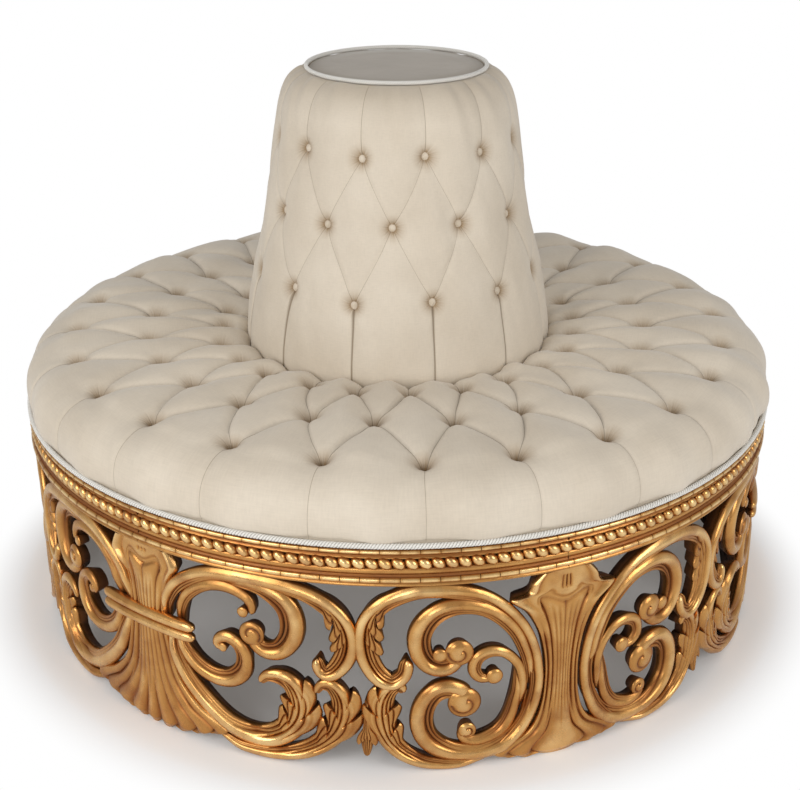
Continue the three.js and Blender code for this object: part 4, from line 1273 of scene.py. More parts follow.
class NodeTree(Layout):
    """A geometry node tree with named inputs, which ends in Realize Instances and Set Material."""

    kinds = {float: "NodeSocketFloat", int: "NodeSocketInt", Material: "NodeSocketMaterial"}

    def __init__(self, name: str, inputs: dict[str, object]) -> None:
        """Start a tree.

        Args:
            name: the tree's name.
            inputs: values by input name; Finish is the material.
        """
        super().__init__(bpy.data.node_groups.new(name, "GeometryNodeTree"))
        self.values = inputs
        face = self.tree.interface
        face.new_socket("Geometry", in_out="INPUT", socket_type="NodeSocketGeometry")
        face.new_socket("Geometry", in_out="OUTPUT", socket_type="NodeSocketGeometry")
        for key, value in inputs.items():
            face.new_socket(key, in_out="INPUT", socket_type=self.kinds[type(value)])
        self.group = self.node("NodeGroupInput")

    def __getitem__(self, name: str) -> Socket:
        """Give one of the tree's inputs."""
        return self.group.outputs[name]

    def vector(self, x: object = 0.0, y: object = 0.0, z: object = 0.0) -> Socket:
        """Join three numbers or sockets."""
        return self.out("ShaderNodeCombineXYZ", {0: x, 1: y, 2: z})

    def number(self) -> Socket:
        """Give the number of each point or instance, from 0."""
        return self.out("GeometryNodeInputIndex")

    def circle(self, corners: int, radius: object) -> Socket:
        """Draw a circle as a curve."""
        return self.out("GeometryNodeCurvePrimitiveCircle", {"Resolution": corners, "Radius": radius})

    def lifted(self, geometry: Socket, height: Socket) -> Socket:
        """Lift a mesh to a height."""
        return self.out("GeometryNodeTransform", {
            "Geometry": geometry, "Translation": self.vector(z=height)})

    def strewn(self, points: Socket, shape: Socket, rotation: Socket, scale: object = (1, 1, 1)) -> Socket:
        """Put a shape on each point."""
        return self.out("GeometryNodeInstanceOnPoints", {
            "Points": points, "Instance": shape, "Rotation": rotation, "Scale": scale})

    def painted(self, geometry: Socket, name: str, value: Socket) -> Socket:
        """Store a number on the vertices."""
        return self.out("GeometryNodeStoreNamedAttribute", {
            "Geometry": geometry, "Name": name, "Value": value})

    def facing(self) -> Socket:
        """Give how far a face looks away from the axis, from 0 to 1, used as painted light on faces turned
        out and painted shade on the rest.
        """
        place = self.out("GeometryNodeInputPosition")
        out = self.across("NORMALIZE", self.across("MULTIPLY", place, (1, 1, 0)).outputs[0]).outputs[0]
        normal = self.out("GeometryNodeInputNormal")
        dot = self.across("DOT_PRODUCT", normal, out).outputs["Value"]
        return self.sum("POWER", self.out("ShaderNodeClamp", {0: dot}), 0.6)

    def hypot(self, x: Socket, y: Socket) -> Socket:
        """Give the diagonal over two sides."""
        return self.sum("SQRT", self.sum("ADD", self.sum("MULTIPLY", x, x), self.sum("MULTIPLY", y, y)))

    def off_ring(self, ring: object, height: object, radius: object) -> Socket:
        """Give how far a place lies off a ring's line, as a share of a radius.

        Args:
            ring: the ring's radius.
            height: its height.
            radius: the radius that counts as 1.

        Returns:
            The share, a number on each vertex.
        """
        place = self.node("ShaderNodeSeparateXYZ", {0: self.out("GeometryNodeInputPosition")})
        out = self.sum("SUBTRACT", self.hypot(place.outputs[0], place.outputs[1]), ring)
        rise = self.sum("SUBTRACT", place.outputs[2], height)
        return self.sum("DIVIDE", self.hypot(out, rise), radius)

    def finish(self, geometry: Socket, relief_shade: Optional[Socket] = None) -> None:
        """End the tree.

        Args:
            geometry: the instances or mesh to end with.
            relief_shade: how exposed each vertex is, to be painted on it.
        """
        smoothed = self.out("GeometryNodeSetShadeSmooth", {"Geometry": geometry})
        real = self.out("GeometryNodeRealizeInstances", {0: smoothed})
        if relief_shade:
            real = self.painted(real, "relief_shade", relief_shade)
        dressed = self.out("GeometryNodeSetMaterial", {"Geometry": real, "Material": self["Finish"]})
        self.node("NodeGroupOutput", {0: dressed})

    def piece(self, name: str, seed: Optional[Mesh] = None) -> Piece:
        """Run the tree and keep its result as a plain mesh.

        Args:
            name: the piece's name.
            seed: the mesh that the tree starts from, if any.

        Returns:
            The finished object.
        """
        carrier = add_object(name + "_tree", seed or bpy.data.meshes.new(name + "_seed"))
        modifier = carrier.modifiers.new("tree", "NODES")
        modifier.node_group = self.tree
        for item in self.tree.interface.items_tree:
            if item.in_out == "INPUT" and item.name in self.values:
                modifier[item.identifier] = self.values[item.name]
        seen = carrier.evaluated_get(bpy.context.evaluated_depsgraph_get())
        mesh = bpy.data.meshes.new_from_object(seen)
        mesh.name = name
        carrier.modifiers.remove(modifier)
        bpy.data.objects.remove(carrier)
        return add_object(name, mesh)


@dataclass(frozen=True)
class Rail:
    """The beaded rail over the carving: six turned segments, a bead course and two notched rolls."""

    steps: int = 66
    joint: float = 0.0003
    outer: float = 0.7
    crisp: float = 75.0  # degrees over which an edge stays crisp
    beads: int = 211
    bead_ring: float = 0.6905
    bead_height: float = 0.3900
    bead_radius: float = 0.0090
    bead_width: float = 0.0134
    bead_slant: float = math.radians(-38)
    notches: int = 141
    notch: float = 0.0011
    stand: float = 0.005  # half of a notched roll's depth
    profile: tuple = (  # radius, height and relief; the relief paints shade in the grooves and bead channel and a highlight on the rolls
        (650, 351.4, 0), (694.5, 351.4, 0.2), (696.2, 352.4, 0.7), (696.6, 354.4, 0.75), (695.2, 356.4, 0.6),
        (694, 357.8, 0.25), (694, 368.4, 0.3), (692.2, 369.4, 0.35), (691.6, 370.8, 0.4), (692.4, 372, 0.6),
        (693.2, 376, 0.75), (692.4, 380.4, 0.6), (691, 381.6, 0.45), (688.6, 382.6, 0.3), (686, 385, 0.15),
        (684.8, 389.8, 0.1), (686, 394.8, 0.15), (688.6, 397.2, 0.3), (691.4, 398, 0.6), (692.2, 399, 0.75),
        (692, 400.6, 0.55), (690.2, 401.6, 0.35), (690, 403.6, 0.4), (691.2, 405.8, 0.5), (693.4, 407.4, 0.6),
        (694, 408.4, 0.3), (694, 416.8, 0.3), (693, 417.2, 0.3), (650, 417.2, 0))

    def segment(self) -> Shells:
        """Turn one segment of the rail, from bearing zero on."""
        shells = Shells()
        joint = self.joint / self.outer
        bearing = np.linspace(joint, BAY_ANGLE - joint, self.steps)
        radius, height, relief_shade = np.array(self.profile).T
        section = polar(bearing[:, None], radius[None, :] * MM, height[None, :] * MM)
        shells.add_tube(section, np.broadcast_to(relief_shade, section.shape[:2]))
        return shells

    def bead_course(self, finish: Material) -> Piece:
        """String the beads round the rail's channel.

        Args:
            finish: their material.

        Returns:
            The finished object.
        """
        tree = NodeTree("bead_course", {
            "Beads": self.beads, "Ring Radius": self.bead_ring, "Height": self.bead_height,
            "Bead Radius": self.bead_radius, "Bead Width": self.bead_width, "Slant": self.bead_slant,
            "Finish": finish})
        ring = tree.out("GeometryNodeMeshCircle", {
            "Vertices": tree["Beads"], "Radius": tree["Ring Radius"]})
        bead = tree.out("GeometryNodeMeshUVSphere", {"Segments": 10, "Rings": 7})
        turn = tree.sum("DIVIDE", tree.sum("MULTIPLY", tree.number(), TURN), tree["Beads"])
        size = tree.vector(tree["Bead Radius"], tree["Bead Width"], tree["Bead Radius"])
        strung = tree.strewn(tree.lifted(ring, tree["Height"]), bead,
                             tree.vector(tree["Slant"], 0.0, turn), size)
        # Painted light and shade: the beads are lighter where they face out.
        tree.finish(strung, relief_shade=tree.facing())
        return tree.piece("bead_course")

    def notched_roll(self, name: str, height: float, half_height: float, out: float,
                     finish: Material) -> Piece:
        """Lay short rolls end to end round the rail, with a cut between each two.

        Args:
            name: the piece's name.
            height: of the rolls' middle.
            half_height: half of their height.
            out: radius of their outermost line.
            finish: their material.

        Returns:
            The finished object.
        """
        tree = NodeTree(name, {
            "Rolls": self.notches, "Ring Radius": out - self.stand, "Height": height,
            "Half Height": half_height, "Stand": self.stand, "Cut": self.notch, "Finish": finish})
        pitch = tree.sum("DIVIDE", TURN, tree["Rolls"])
        cut = tree.sum("DIVIDE", tree["Cut"], tree["Ring Radius"])
        arc = tree.out("GeometryNodeCurveArc", {
            "Resolution": 6, "Radius": tree["Ring Radius"], "Start Angle": 0.0,
            "Sweep Angle": tree.sum("SUBTRACT", pitch, cut)})
        oval = tree.out("GeometryNodeTransform", {
            "Geometry": tree.circle(10, 1.0),
            "Scale": tree.vector(tree["Stand"], tree["Half Height"], 1.0)})
        roll = tree.out("GeometryNodeCurveToMesh", {
            "Curve": arc, "Profile Curve": oval, "Fill Caps": True})
        points = tree.out("GeometryNodeMeshLine", {
            "Count": tree["Rolls"], "Offset": (0, 0, 0)}, mode="OFFSET")
        laid = tree.strewn(points, tree.lifted(roll, tree["Height"]),
                           tree.vector(z=tree.sum("MULTIPLY", tree.number(), pitch)))
        # Painted light and shade: the rolls are lighter where they face out.
        tree.finish(laid, relief_shade=tree.facing())
        return tree.piece(name)

    def build(self, finishes: Finishes) -> None:
        """Make the segments, the beads and the notched rolls.

        Args:
            finishes: the sofa's materials.
        """
        gilt = finishes.gilt
        segment = self.segment()
        for i in range(BAYS):
            piece = segment.piece(f"moulded_rail_{i + 1}", i * BAY_ANGLE, self.crisp)
            settle(piece, gilt, [f"rail_segment_{i + 1}"])
        settle(self.bead_course(gilt), gilt)
        settle(self.notched_roll("lower_notched_roll", 0.3632, 0.0050, 0.6995, gilt), gilt)
        settle(self.notched_roll("upper_notched_roll", 0.4128, 0.0042, 0.6998, gilt), gilt)


@dataclass(frozen=True)
class TrimCord:
    """A cord of twisted strands, sewn down in a ring."""

    name: str
    node: str
    ring: float
    height: float
    radius: float
    turns: int
    strands: int = 3
    steps: int = 8  # of each turn
    yarn_sides: int = 6

    def build(self, finishes: Finishes) -> None:
        """Twist the strands round the ring.

        Args:
            finishes: the sofa's materials.
        """
        tree = NodeTree(self.name, {
            "Ring Radius": self.ring, "Height": self.height, "Lay": self.radius * 0.5,
            "Strand Radius": self.radius * 0.5, "Turns": float(self.turns), "Finish": finishes.cord})
        joined = tree.node("GeometryNodeJoinGeometry")
        for strand in range(self.strands):
            loop = tree.circle(self.turns * self.steps, tree["Ring Radius"])
            share = tree.sum("DIVIDE", tree.number(), float(self.turns * self.steps))
            turned = tree.sum("MULTIPLY", tree.sum("MULTIPLY", share, tree["Turns"]), TURN)
            twist = tree.sum("ADD", turned, TURN * strand / self.strands)
            around = tree.sum("MULTIPLY", share, TURN)
            out = tree.sum("MULTIPLY", tree.sum("COSINE", twist), tree["Lay"])
            rise = tree.sum("MULTIPLY", tree.sum("SINE", twist), tree["Lay"])
            offset = tree.vector(tree.sum("MULTIPLY", out, tree.sum("COSINE", around)),
                                 tree.sum("MULTIPLY", out, tree.sum("SINE", around)),
                                 tree.sum("ADD", rise, tree["Height"]))
            moved = tree.out("GeometryNodeSetPosition", {"Geometry": loop, "Offset": offset})
            yarn = tree.circle(self.yarn_sides, tree["Strand Radius"])
            tube = tree.out("GeometryNodeCurveToMesh", {"Curve": moved, "Profile Curve": yarn})
            tree.tree.links.new(tube, joined.inputs[0])
        # Painted shade: the yarn darkens towards the cord's middle, in the grooves between the strands.
        off = tree.off_ring(tree["Ring Radius"], tree["Height"], self.radius)
        tree.finish(joined.outputs[0], tree.sum("MULTIPLY_ADD", off, 2.2, -1.3))
        settle(tree.piece(self.name), finishes.cord, [self.node])


# Buttoned upholstery

CLOTH = {
    "quality": 4, "mass": 0.3, "tension_stiffness": 12, "compression_stiffness": 12, "shear_stiffness": 6,
    "bending_stiffness": 2, "pin_stiffness": 2, "use_pressure": True, "uniform_pressure_force": 4,
}
FILLING_FRAMES = 20


@dataclass(frozen=True)
class Folds:
    """Sizes of the folds of a buttoned cover, in mm.

    Before and after stand for the pleats outside the first and the last row of buttons.
    """

    pit: float
    pit_reach: float
    fold: float
    fold_reach: float
    before: float
    before_reach: float
    after: float
    after_reach: float
    dome: float
    line: float = 0.7  # half width of the painted crease shade along a fold
    before_line: float = 0.7
    after_line: float = 0.7
    change: float = 12.0  # length over which folds turn into pleats
    fade: float = 35.0  # length over which pleats get shallower
    taut: float = 38.0  # length over which folds get shallower away from a button
    hem: float = 12.0  # width of the smooth edges
    stray: float = 2.5  # how far a button sits off its place
    waver: float = 1.0  # unevenness of the filling


@dataclass
class Cover:
    """A buttoned cover worked out by row and column."""

    points: Array
    fold: Array  # way to the nearest fold, in metres
    line: Array  # half width of the painted crease shade there, in metres
    pit: Array
    cloth: Array
    eye: Array  # place relative to the nearest button, in metres
    loose: Array


@dataclass(frozen=True)
class ButtonedCover:
    """A deep-buttoned ring cover: three rows of buttons, diamonds between them and pleats beyond.

    The profile runs from the outer foot over the face to the inner foot, then back through the
    hidden side. Millimetres.
    """

    name: str
    node: str
    profile: tuple
    button_rows: tuple[int, int, int]  # numbers of profile points
    face_end: int  # the last profile point that shows
    tufts: int
    start_degrees: float
    folds: Folds
    cells: int  # columns between two folds at a row of buttons
    before_steps: int
    after_steps: int
    swell: float
    fill: float
    seed: int
    offsets = (0.0, 0.5, 0.0)
    ease: float = 0.3

    def eased(self, count: int) -> Array:
        """Space steps closer at whole numbers, where the buttons are."""
        t = np.arange(count + 1) / self.cells
        return t - self.ease * np.sin(TURN * t) / (TURN)

    def places(self) -> tuple[Array, Array]:
        """Give the rows' places on the profile and in the lattice, where rows of buttons lie 0.5 apart."""
        first, middle, last = self.button_rows
        step = self.eased(self.cells)
        before = np.linspace(0, first, self.before_steps + 1)[:-1]
        after = np.linspace(last, self.face_end, self.after_steps + 1)
        hidden = np.arange(self.face_end + 1, len(self.profile))
        place = np.concatenate([before, first + (middle - first) * step[:-1],
                                middle + (last - middle) * step[:-1], after, hidden])
        inner = np.concatenate([step[:-1], 1 + step[:-1]]) / 2
        lattice = np.concatenate([np.full(len(before), -1.0), inner, [1.0],
                                  np.full(len(after) + len(hidden) - 1, 2.0)])
        return place, lattice

    def line(self, place: Array) -> tuple[Array, Array, Array]:
        """Follow the profile.

        Args:
            place: where to sample it.

        Returns:
            Radius and height, the outward normal, and the way run so far.
        """
        profile = np.array(self.profile) * MM
        base = spline(profile, place)
        hidden = place > self.face_end
        base[hidden] = profile[place[hidden].astype(int)]
        step = np.gradient(base, axis=0)
        step /= np.hypot(*step.T)[:, None]
        run = np.concatenate([[0], np.cumsum(np.hypot(*np.diff(base, axis=0).T))])
        return base, np.stack([step[:, 1], -step[:, 0]], axis=1), run

    def to_buttons(self, u: Array, run: Array, width: Array,
                   button_runs: Sequence[float]) -> tuple[Array, Array, Array]:
        """Find each place's nearest button.

        Args:
            u: places round the cover, counted in buttons.
            run: the rows' places along the profile.
            width: the way from button to button by row.
            button_runs: where the rows of buttons lie along the profile.

        Returns:
            The way from the button, across and along; its row; its number there.
        """
        across = np.stack([nearest(u - offset) * width for offset in self.offsets])
        along = np.stack([run[:, None] - at + 0 * u for at in button_runs])
        numbers = np.stack([np.round(u - offset) + 0 * run[:, None] for offset in self.offsets])
        which = np.hypot(across, along).argmin(axis=0)
        eye_x, eye_y, number = (np.take_along_axis(all_rows, which[None], 0)[0]
                                for all_rows in (across, along, numbers))
        return np.stack([eye_x, eye_y], axis=-1), which, number.astype(int) % self.tufts

    def shape(self) -> Cover:
        """Work out the cover's folds, pits and pillows."""
        f = self.folds
        place, lattice = self.places()
        base, normal, run = self.line(place)
        u = (np.arange(self.tufts)[:, None] + self.eased(2 * self.cells)[None, :-1] / 2).ravel()[None, :]
        v = lattice[:, None]
        width = TURN * base[:, :1] / self.tufts
        button_runs = [run[int(np.argmin(np.abs(place - row)))] for row in self.button_rows]
        first, last = button_runs[0], button_runs[2]
        eye, which, button = self.to_buttons(u, run, width, button_runs)
        near = np.hypot(*np.moveaxis(eye, -1, 0)) / MM

        inside = (v >= 0) & (v <= 1)
        before = (run[:, None] < first) & ~inside
        metric = 1 / np.sqrt(1 / width**2 + 1 / (last - first) ** 2)
        a, b, c = nearest(u - v), nearest(u + v), nearest(u + 0 * v)
        leading = np.where(np.abs(a) < np.abs(b), a, -b)
        fold = np.where(inside, np.abs(leading) * metric, np.abs(c) * width)
        side = np.where(inside, np.sign(leading), np.sign(c))
        away = np.clip(np.maximum(first - run, run - last), 0, None)[:, None] / MM
        zone = smooth(0, f.change, away)
        beyond = np.where(before, f.before, f.after) * (0.35 + 0.65 * np.exp(-away / f.fade))
        depth = f.fold * (1 - zone) + beyond * zone
        reach = f.fold_reach * (1 - zone) + np.where(before, f.before_reach, f.after_reach) * zone
        taut = np.where(inside, 0.5 + 0.5 * np.exp(-near / f.taut), 1.0)
        crease = depth * taut * np.exp(-np.hypot(fold / MM, 0.8) / (reach * (1 + 0.4 * side)))
        pit = np.exp(-np.hypot(near, 2.5) / f.pit_reach)
        sunk = np.hypot(f.pit * pit, crease)
        diamond = np.abs(np.sin(math.pi * a) * np.sin(math.pi * b))
        pillow = np.where(inside, diamond, np.sin(math.pi * c) ** 2) ** 0.55
        rise = f.dome * pillow * np.where(before, 1 - 0.65 * smooth(0, 30, away), 1)

        bearing = math.radians(self.start_degrees) + TURN * u / self.tufts
        chance = np.random.default_rng(self.seed)
        waver = sum(np.sin(n * bearing + m * run[:, None] + phase) for n, m, phase in zip(
            chance.integers(9, 40, 6), chance.uniform(10, 45, 6), chance.uniform(0, 6, 6)))
        hidden = (place > self.face_end)[:, None]
        face_run = run[place <= self.face_end][-1]
        from_hem, to_hem = run[:, None] / MM, (face_run - run[:, None]) / MM
        edge = smooth(0, f.hem, from_hem) * smooth(0, f.hem, to_hem) * ~hidden
        offset = (rise - sunk + f.waver * 0.4 * waver * pillow) * MM * edge
        moved = base[:, None, :] + normal[:, None, :] * offset[..., None]
        points = polar(bearing, moved[..., 0], moved[..., 1])

        stray = chance.normal(0, f.stray * MM, (3, self.tufts, 2))[which, button]
        stray = stray * (np.exp(-(near / 32) ** 2) * edge)[..., None]
        sideways = polar(bearing + math.pi / 2, 1.0, 0.0)
        lengthways = polar(bearing, -normal[:, 1][:, None], normal[:, 0][:, None])
        points = points + sideways * stray[..., :1] + lengthways * stray[..., 1:]

        # Half width of the painted crease shade: wider near the buttons, narrowing to nothing at the hems.
        line = f.line * (1 - zone) + np.where(before, f.before_line, f.after_line) * zone
        line = line * MM * (0.5 + 0.5 * np.exp(-near / 40)) * edge
        cloth = np.stack(np.broadcast_arrays(u * math.pi / self.tufts, run[:, None]), axis=-1)
        return Cover(points, fold, line + 1e-5, pit * edge, cloth, eye, np.clip(1 - 1.5 * pit, 0, 1) * edge)

    def swelling(self, cover: Cover) -> Array:
        """Let the filling press the cover out between its buttons.

        The cloth is simulated on every other row and column.

        Args:
            cover: the cover at rest.

        Returns:
            How far each of its points moves.
        """
        rows = np.unique(np.append(np.arange(0, len(cover.points), 2), len(cover.points) - 1))
        rest = cover.points[rows][:, ::2]
        flat, corners = rest.reshape(-1, 3), sheet_corners(*rest.shape[:2])
        corners = corners[:, ::-1] if inside_out(flat, corners) else corners
        name = self.name + "_filling"
        piece = add_object(name, new_mesh(name, flat, corners.tolist()))
        held = piece.vertex_groups.new(name="held")
        for number, loose in enumerate(cover.loose[rows][:, ::2].ravel()):
            held.add([number], 1 - float(loose), "REPLACE")
        cloth = piece.modifiers.new("filling", "CLOTH")
        for setting, value in CLOTH.items():
            setattr(cloth.settings, setting, value)
        cloth.settings.vertex_group_mass = "held"
        cloth.settings.effector_weights.gravity = 0
        cloth.collision_settings.use_collision = False
        cloth.point_cache.frame_start, cloth.point_cache.frame_end = 1, FILLING_FRAMES
        for moment in range(1, FILLING_FRAMES + 1):
            bpy.context.scene.frame_set(moment)
        moved = np.empty(rest.size)
        seen = piece.evaluated_get(bpy.context.evaluated_depsgraph_get())
        seen.data.vertices.foreach_get("co", moved)
        bpy.data.objects.remove(piece)
        bpy.context.scene.frame_set(1)
        shift = moved.reshape(rest.shape) - rest
        length = np.linalg.norm(shift, axis=-1)
        LOG.info("%s swells by %.1f mm, %.1f at most", self.name, length.mean() / MM, length.max() / MM)
        shift *= np.minimum(1, self.swell * MM / np.maximum(length, 1e-9))[..., None]
        between = (shift + np.roll(shift, -1, axis=1)) / 2
        wide = np.stack([shift, between], axis=2).reshape(len(rows), -1, 3)
        every = np.arange(len(cover.points))
        low = np.clip(np.searchsorted(rows, every, "right") - 1, 0, len(rows) - 2)
        share = ((every - rows[low]) / (rows[low + 1] - rows[low]))[:, None, None]
        return wide[low] * (1 - share) + wide[low + 1] * share

    def mesh(self, cover: Cover) -> Piece:
        """Make the closed cover as one mesh, its faces cut along the folds.

        Args:
            cover: the cover to mesh.

        Returns:
            The object, with its material's maps.
        """
        rows, columns = cover.points.shape[:2]
        corners = sheet_corners(rows, columns)
        row, column = np.divmod(np.arange(rows * columns), columns)
        start = self.before_steps
        falling = (column - (row - start)) % (2 * self.cells)
        rising = (column + (row - start) + 1) % (2 * self.cells)
        near_falling = np.minimum(falling, 2 * self.cells - falling)
        near_rising = np.minimum(rising, 2 * self.cells - rising)
        split = near_falling <= near_rising
        pairs = np.where(split[:, None, None], [[0, 1, 2], [0, 2, 3]], [[0, 1, 3], [1, 2, 3]])
        faces = np.take_along_axis(corners[:, None, :].repeat(2, 1), pairs, 2).reshape(-1, 3)
        flat = cover.points.reshape(-1, 3)
        if inside_out(flat, faces):
            faces, pairs = faces[:, ::-1], pairs[:, :, ::-1]
        mesh = new_mesh(self.name, flat, faces.tolist())
        right = np.array([0, 1, 1, 0])[pairs].reshape(-1, 3)
        down = np.array([0, 0, 1, 1])[pairs].reshape(-1, 3)
        for name, table, turn in (("cloth", cover.cloth, math.pi), ("eye", cover.eye, 0.0)):
            at_row, at_column = row.repeat(2)[:, None] + down, column.repeat(2)[:, None] + right
            values = table[at_row % rows, at_column % columns]
            values[..., 0] += turn * (at_column // columns)
            mesh.uv_layers.new(name=name).data.foreach_set("uv", values.ravel())
        for name, table in (("fold", cover.fold), ("line", cover.line), ("pit", cover.pit)):
            paint(mesh, name, table)
        mesh.shade_smooth()
        return add_object(self.name, mesh)

    def button_places(self, cover: Cover) -> tuple[Array, Array]:
        """Find where the buttons sit.

        Args:
            cover: the cover that they hold down.

        Returns:
            Their places and the way that each faces.
        """
        place, _ = self.places()
        found, facing = [], []
        points = cover.points
        for button_row, offset in zip(self.button_rows, self.offsets):
            row = int(np.argmin(np.abs(place - button_row)))
            for tuft in range(self.tufts):
                column = int((tuft + offset) * 2 * self.cells)
                ahead = points[row, (column + 4) % points.shape[1]] - points[row, column - 4]
                way = np.cross(ahead, points[row + 4, column] - points[row - 4, column])
                outward = points[row, column] * [1, 1, 0] + [0, 0, 0.35]
                found.append(points[row, column])
                facing.append(way / np.linalg.norm(way) * np.sign(way @ outward))
        return np.array(found), np.array(facing)

    def build(self, finishes: Finishes, button_radius: float, button_stand: float) -> None:
        """Make the cover and its buttons.

        Args:
            finishes: the sofa's materials.
            button_radius: in metres.
            button_stand: how far its middle stands off the bottom of its pit.
        """
        cover = self.shape()
        cover.points = cover.points + self.swelling(cover)
        piece = self.mesh(cover)
        settle(piece, finishes.fabric, [self.node])
        places, facing = self.button_places(cover)
        seed = new_mesh(self.name + "_places", places + facing * button_stand)
        paint(seed, "facing", facing, "FLOAT_VECTOR")
        tree = NodeTree(self.name + "_buttons", {
            "Button Radius": button_radius, "Button Height": button_radius * 0.6, "Finish": finishes.button})
        knob = tree.out("GeometryNodeMeshUVSphere", {"Segments": 16, "Rings": 8})
        way = tree.node("GeometryNodeInputNamedAttribute", {"Name": "facing"}, data_type="FLOAT_VECTOR")
        turned = tree.node("FunctionNodeAlignRotationToVector", {"Vector": way.outputs[0]}, axis="Z")
        width = tree["Button Radius"]
        size = tree.vector(width, width, tree["Button Height"])
        points = tree.out("GeometryNodeMeshToPoints", {"Mesh": tree["Geometry"]})
        tree.finish(tree.strewn(points, knob, turned.outputs[0], size))
        settle(tree.piece(self.name + "_buttons", seed), finishes.button)


SEAT = ButtonedCover(
    name="buttoned_seat", node="seat_cushion",
    profile=((690, 418), (690, 428.6), (692.5, 430.6), (695, 437), (696, 447), (695, 462), (691, 478),
             (682.5, 493), (668, 507), (649, 517.5), (628, 525), (610, 529), (575, 532), (537.5, 533),
             (500, 533), (465, 532), (430, 531.5), (400, 531), (365, 529.5), (335, 527), (314, 523),
             (300, 517), (291, 509), (286.5, 498), (285.6, 480), (285.6, 418), (304, 418), (304, 457),
             (642, 457), (642, 418)),
    button_rows=(11, 15, 19), face_end=24, tufts=24, start_degrees=-4.1,
    folds=Folds(pit=41, pit_reach=12.5, fold=12, fold_reach=10, before=8, before_reach=5.5, after=12,
                after_reach=6, dome=7, line=0.9, before_line=0.9, after_line=1.4, stray=4.6, waver=3.2),
    cells=16, before_steps=38, after_steps=18, swell=3, fill=0.85, seed=5)

BACK = ButtonedCover(
    name="buttoned_back", node="back_cover",
    profile=((283, 418), (283, 470), (282.5, 520), (280, 560), (273.5, 605), (263, 654),
             (255, 685), (248.5, 716), (243, 747), (238, 778), (233.5, 808), (228.5, 837), (223.5, 866),
             (219, 895), (214, 923), (208.5, 949), (201, 973), (191.5, 990.5), (179, 1001.5), (166.5, 1007),
             (159.2, 1008.2), (158.4, 1006), (158.4, 980), (179, 979), (259, 418)),
    button_rows=(5, 9, 13), face_end=20, tufts=12, start_degrees=-9.2,
    folds=Folds(pit=19, pit_reach=11.5, fold=3.4, fold_reach=9.5, before=12, before_reach=5, after=4.5,
                after_reach=6, dome=3.6, line=0.55, before_line=4.4, after_line=1.0, stray=2.6, waver=1.4),
    cells=22, before_steps=30, after_steps=26, swell=2.5, fill=0.8, seed=8)


@dataclass(frozen=True)
class PlainPad:
    """A padded ring or disc turned from a closed profile, in mm."""

    name: str
    node: str
    profile: tuple
    fill: float
    slot: Slot
    sides: int = 96

    def build(self, finish: Material) -> None:
        """Turn the pad.

        Args:
            finish: its material.
        """
        radius, height = (np.array(self.profile) * MM).T
        bearing = np.linspace(0, TURN, self.sides, endpoint=False)
        points = polar(bearing[:, None], radius[None, :], height[None, :])
        rows, columns = points.shape[:2]
        solid = Shells()
        solid.add(points.reshape(-1, 3), sheet_corners(rows, columns), np.zeros(rows * columns))
        piece = solid.piece(self.name, 0, 50)
        cloth = piece.data.uv_layers.new(name="cloth")
        place = np.empty(len(piece.data.loops), int)
        piece.data.loops.foreach_get("vertex_index", place)
        cloth.data.foreach_set("uv", points.reshape(-1, 3)[place][:, :2].ravel())
        unfolded = np.ones(rows * columns)
        paint(piece.data, "fold", unfolded)
        paint(piece.data, "line", unfolded / 2)
        settle(piece, finish, [self.node])


SEAT_FOAM = PlainPad(
    "seat_foam_core", "seat_foam",
    ((306.4, 418), (306.4, 452), (309, 455.4), (600, 455.4), (634, 452.6), (639.6, 446), (639.6, 418)),
    1.0, Slot.FOAM)
BACK_FOAM = PlainPad(
    "back_foam_core", "back_foam",
    ((238.8, 418.2), (257.6, 418.2), (178, 978.4), (159, 978.4), (238.8, 435.8)), 1.0, Slot.FOAM)
TOP_PAD = PlainPad(
    "flat_top_pad", "back_top_pad",
    ((0.05, 998.4), (157.6, 998.4), (157.8, 1004), (157, 1008.4), (154.6, 1010.2), (120, 1010.9),
     (60, 1011.2), (0.05, 1011.3)), 0.6, Slot.FABRIC)


@dataclass(frozen=True)
class HiddenFrame:
    """The seat's and back's frame, which keeps its CAD shape and gets real finishes."""

    def build(self, finishes: Finishes) -> None:
        """Dress the nodes that stay.

        Args:
            finishes: the sofa's materials.
        """
        slots = {Slot.PLY: finishes.ply, Slot.TIMBER: finishes.timber, Slot.STEEL: finishes.steel,
                 Slot.CAMBRIC: finishes.cambric}
        by_node = {row["node"]: row["material_slot"] for row in frame["record"]["subparts"]}
        for node, piece in frame["nodes"].items():
            slot = Slot(by_node[node])
            if slot in slots:
                piece.data.materials.clear()
                piece.data.materials.append(slots[slot])
                LOG.info("%s: dressed", node)


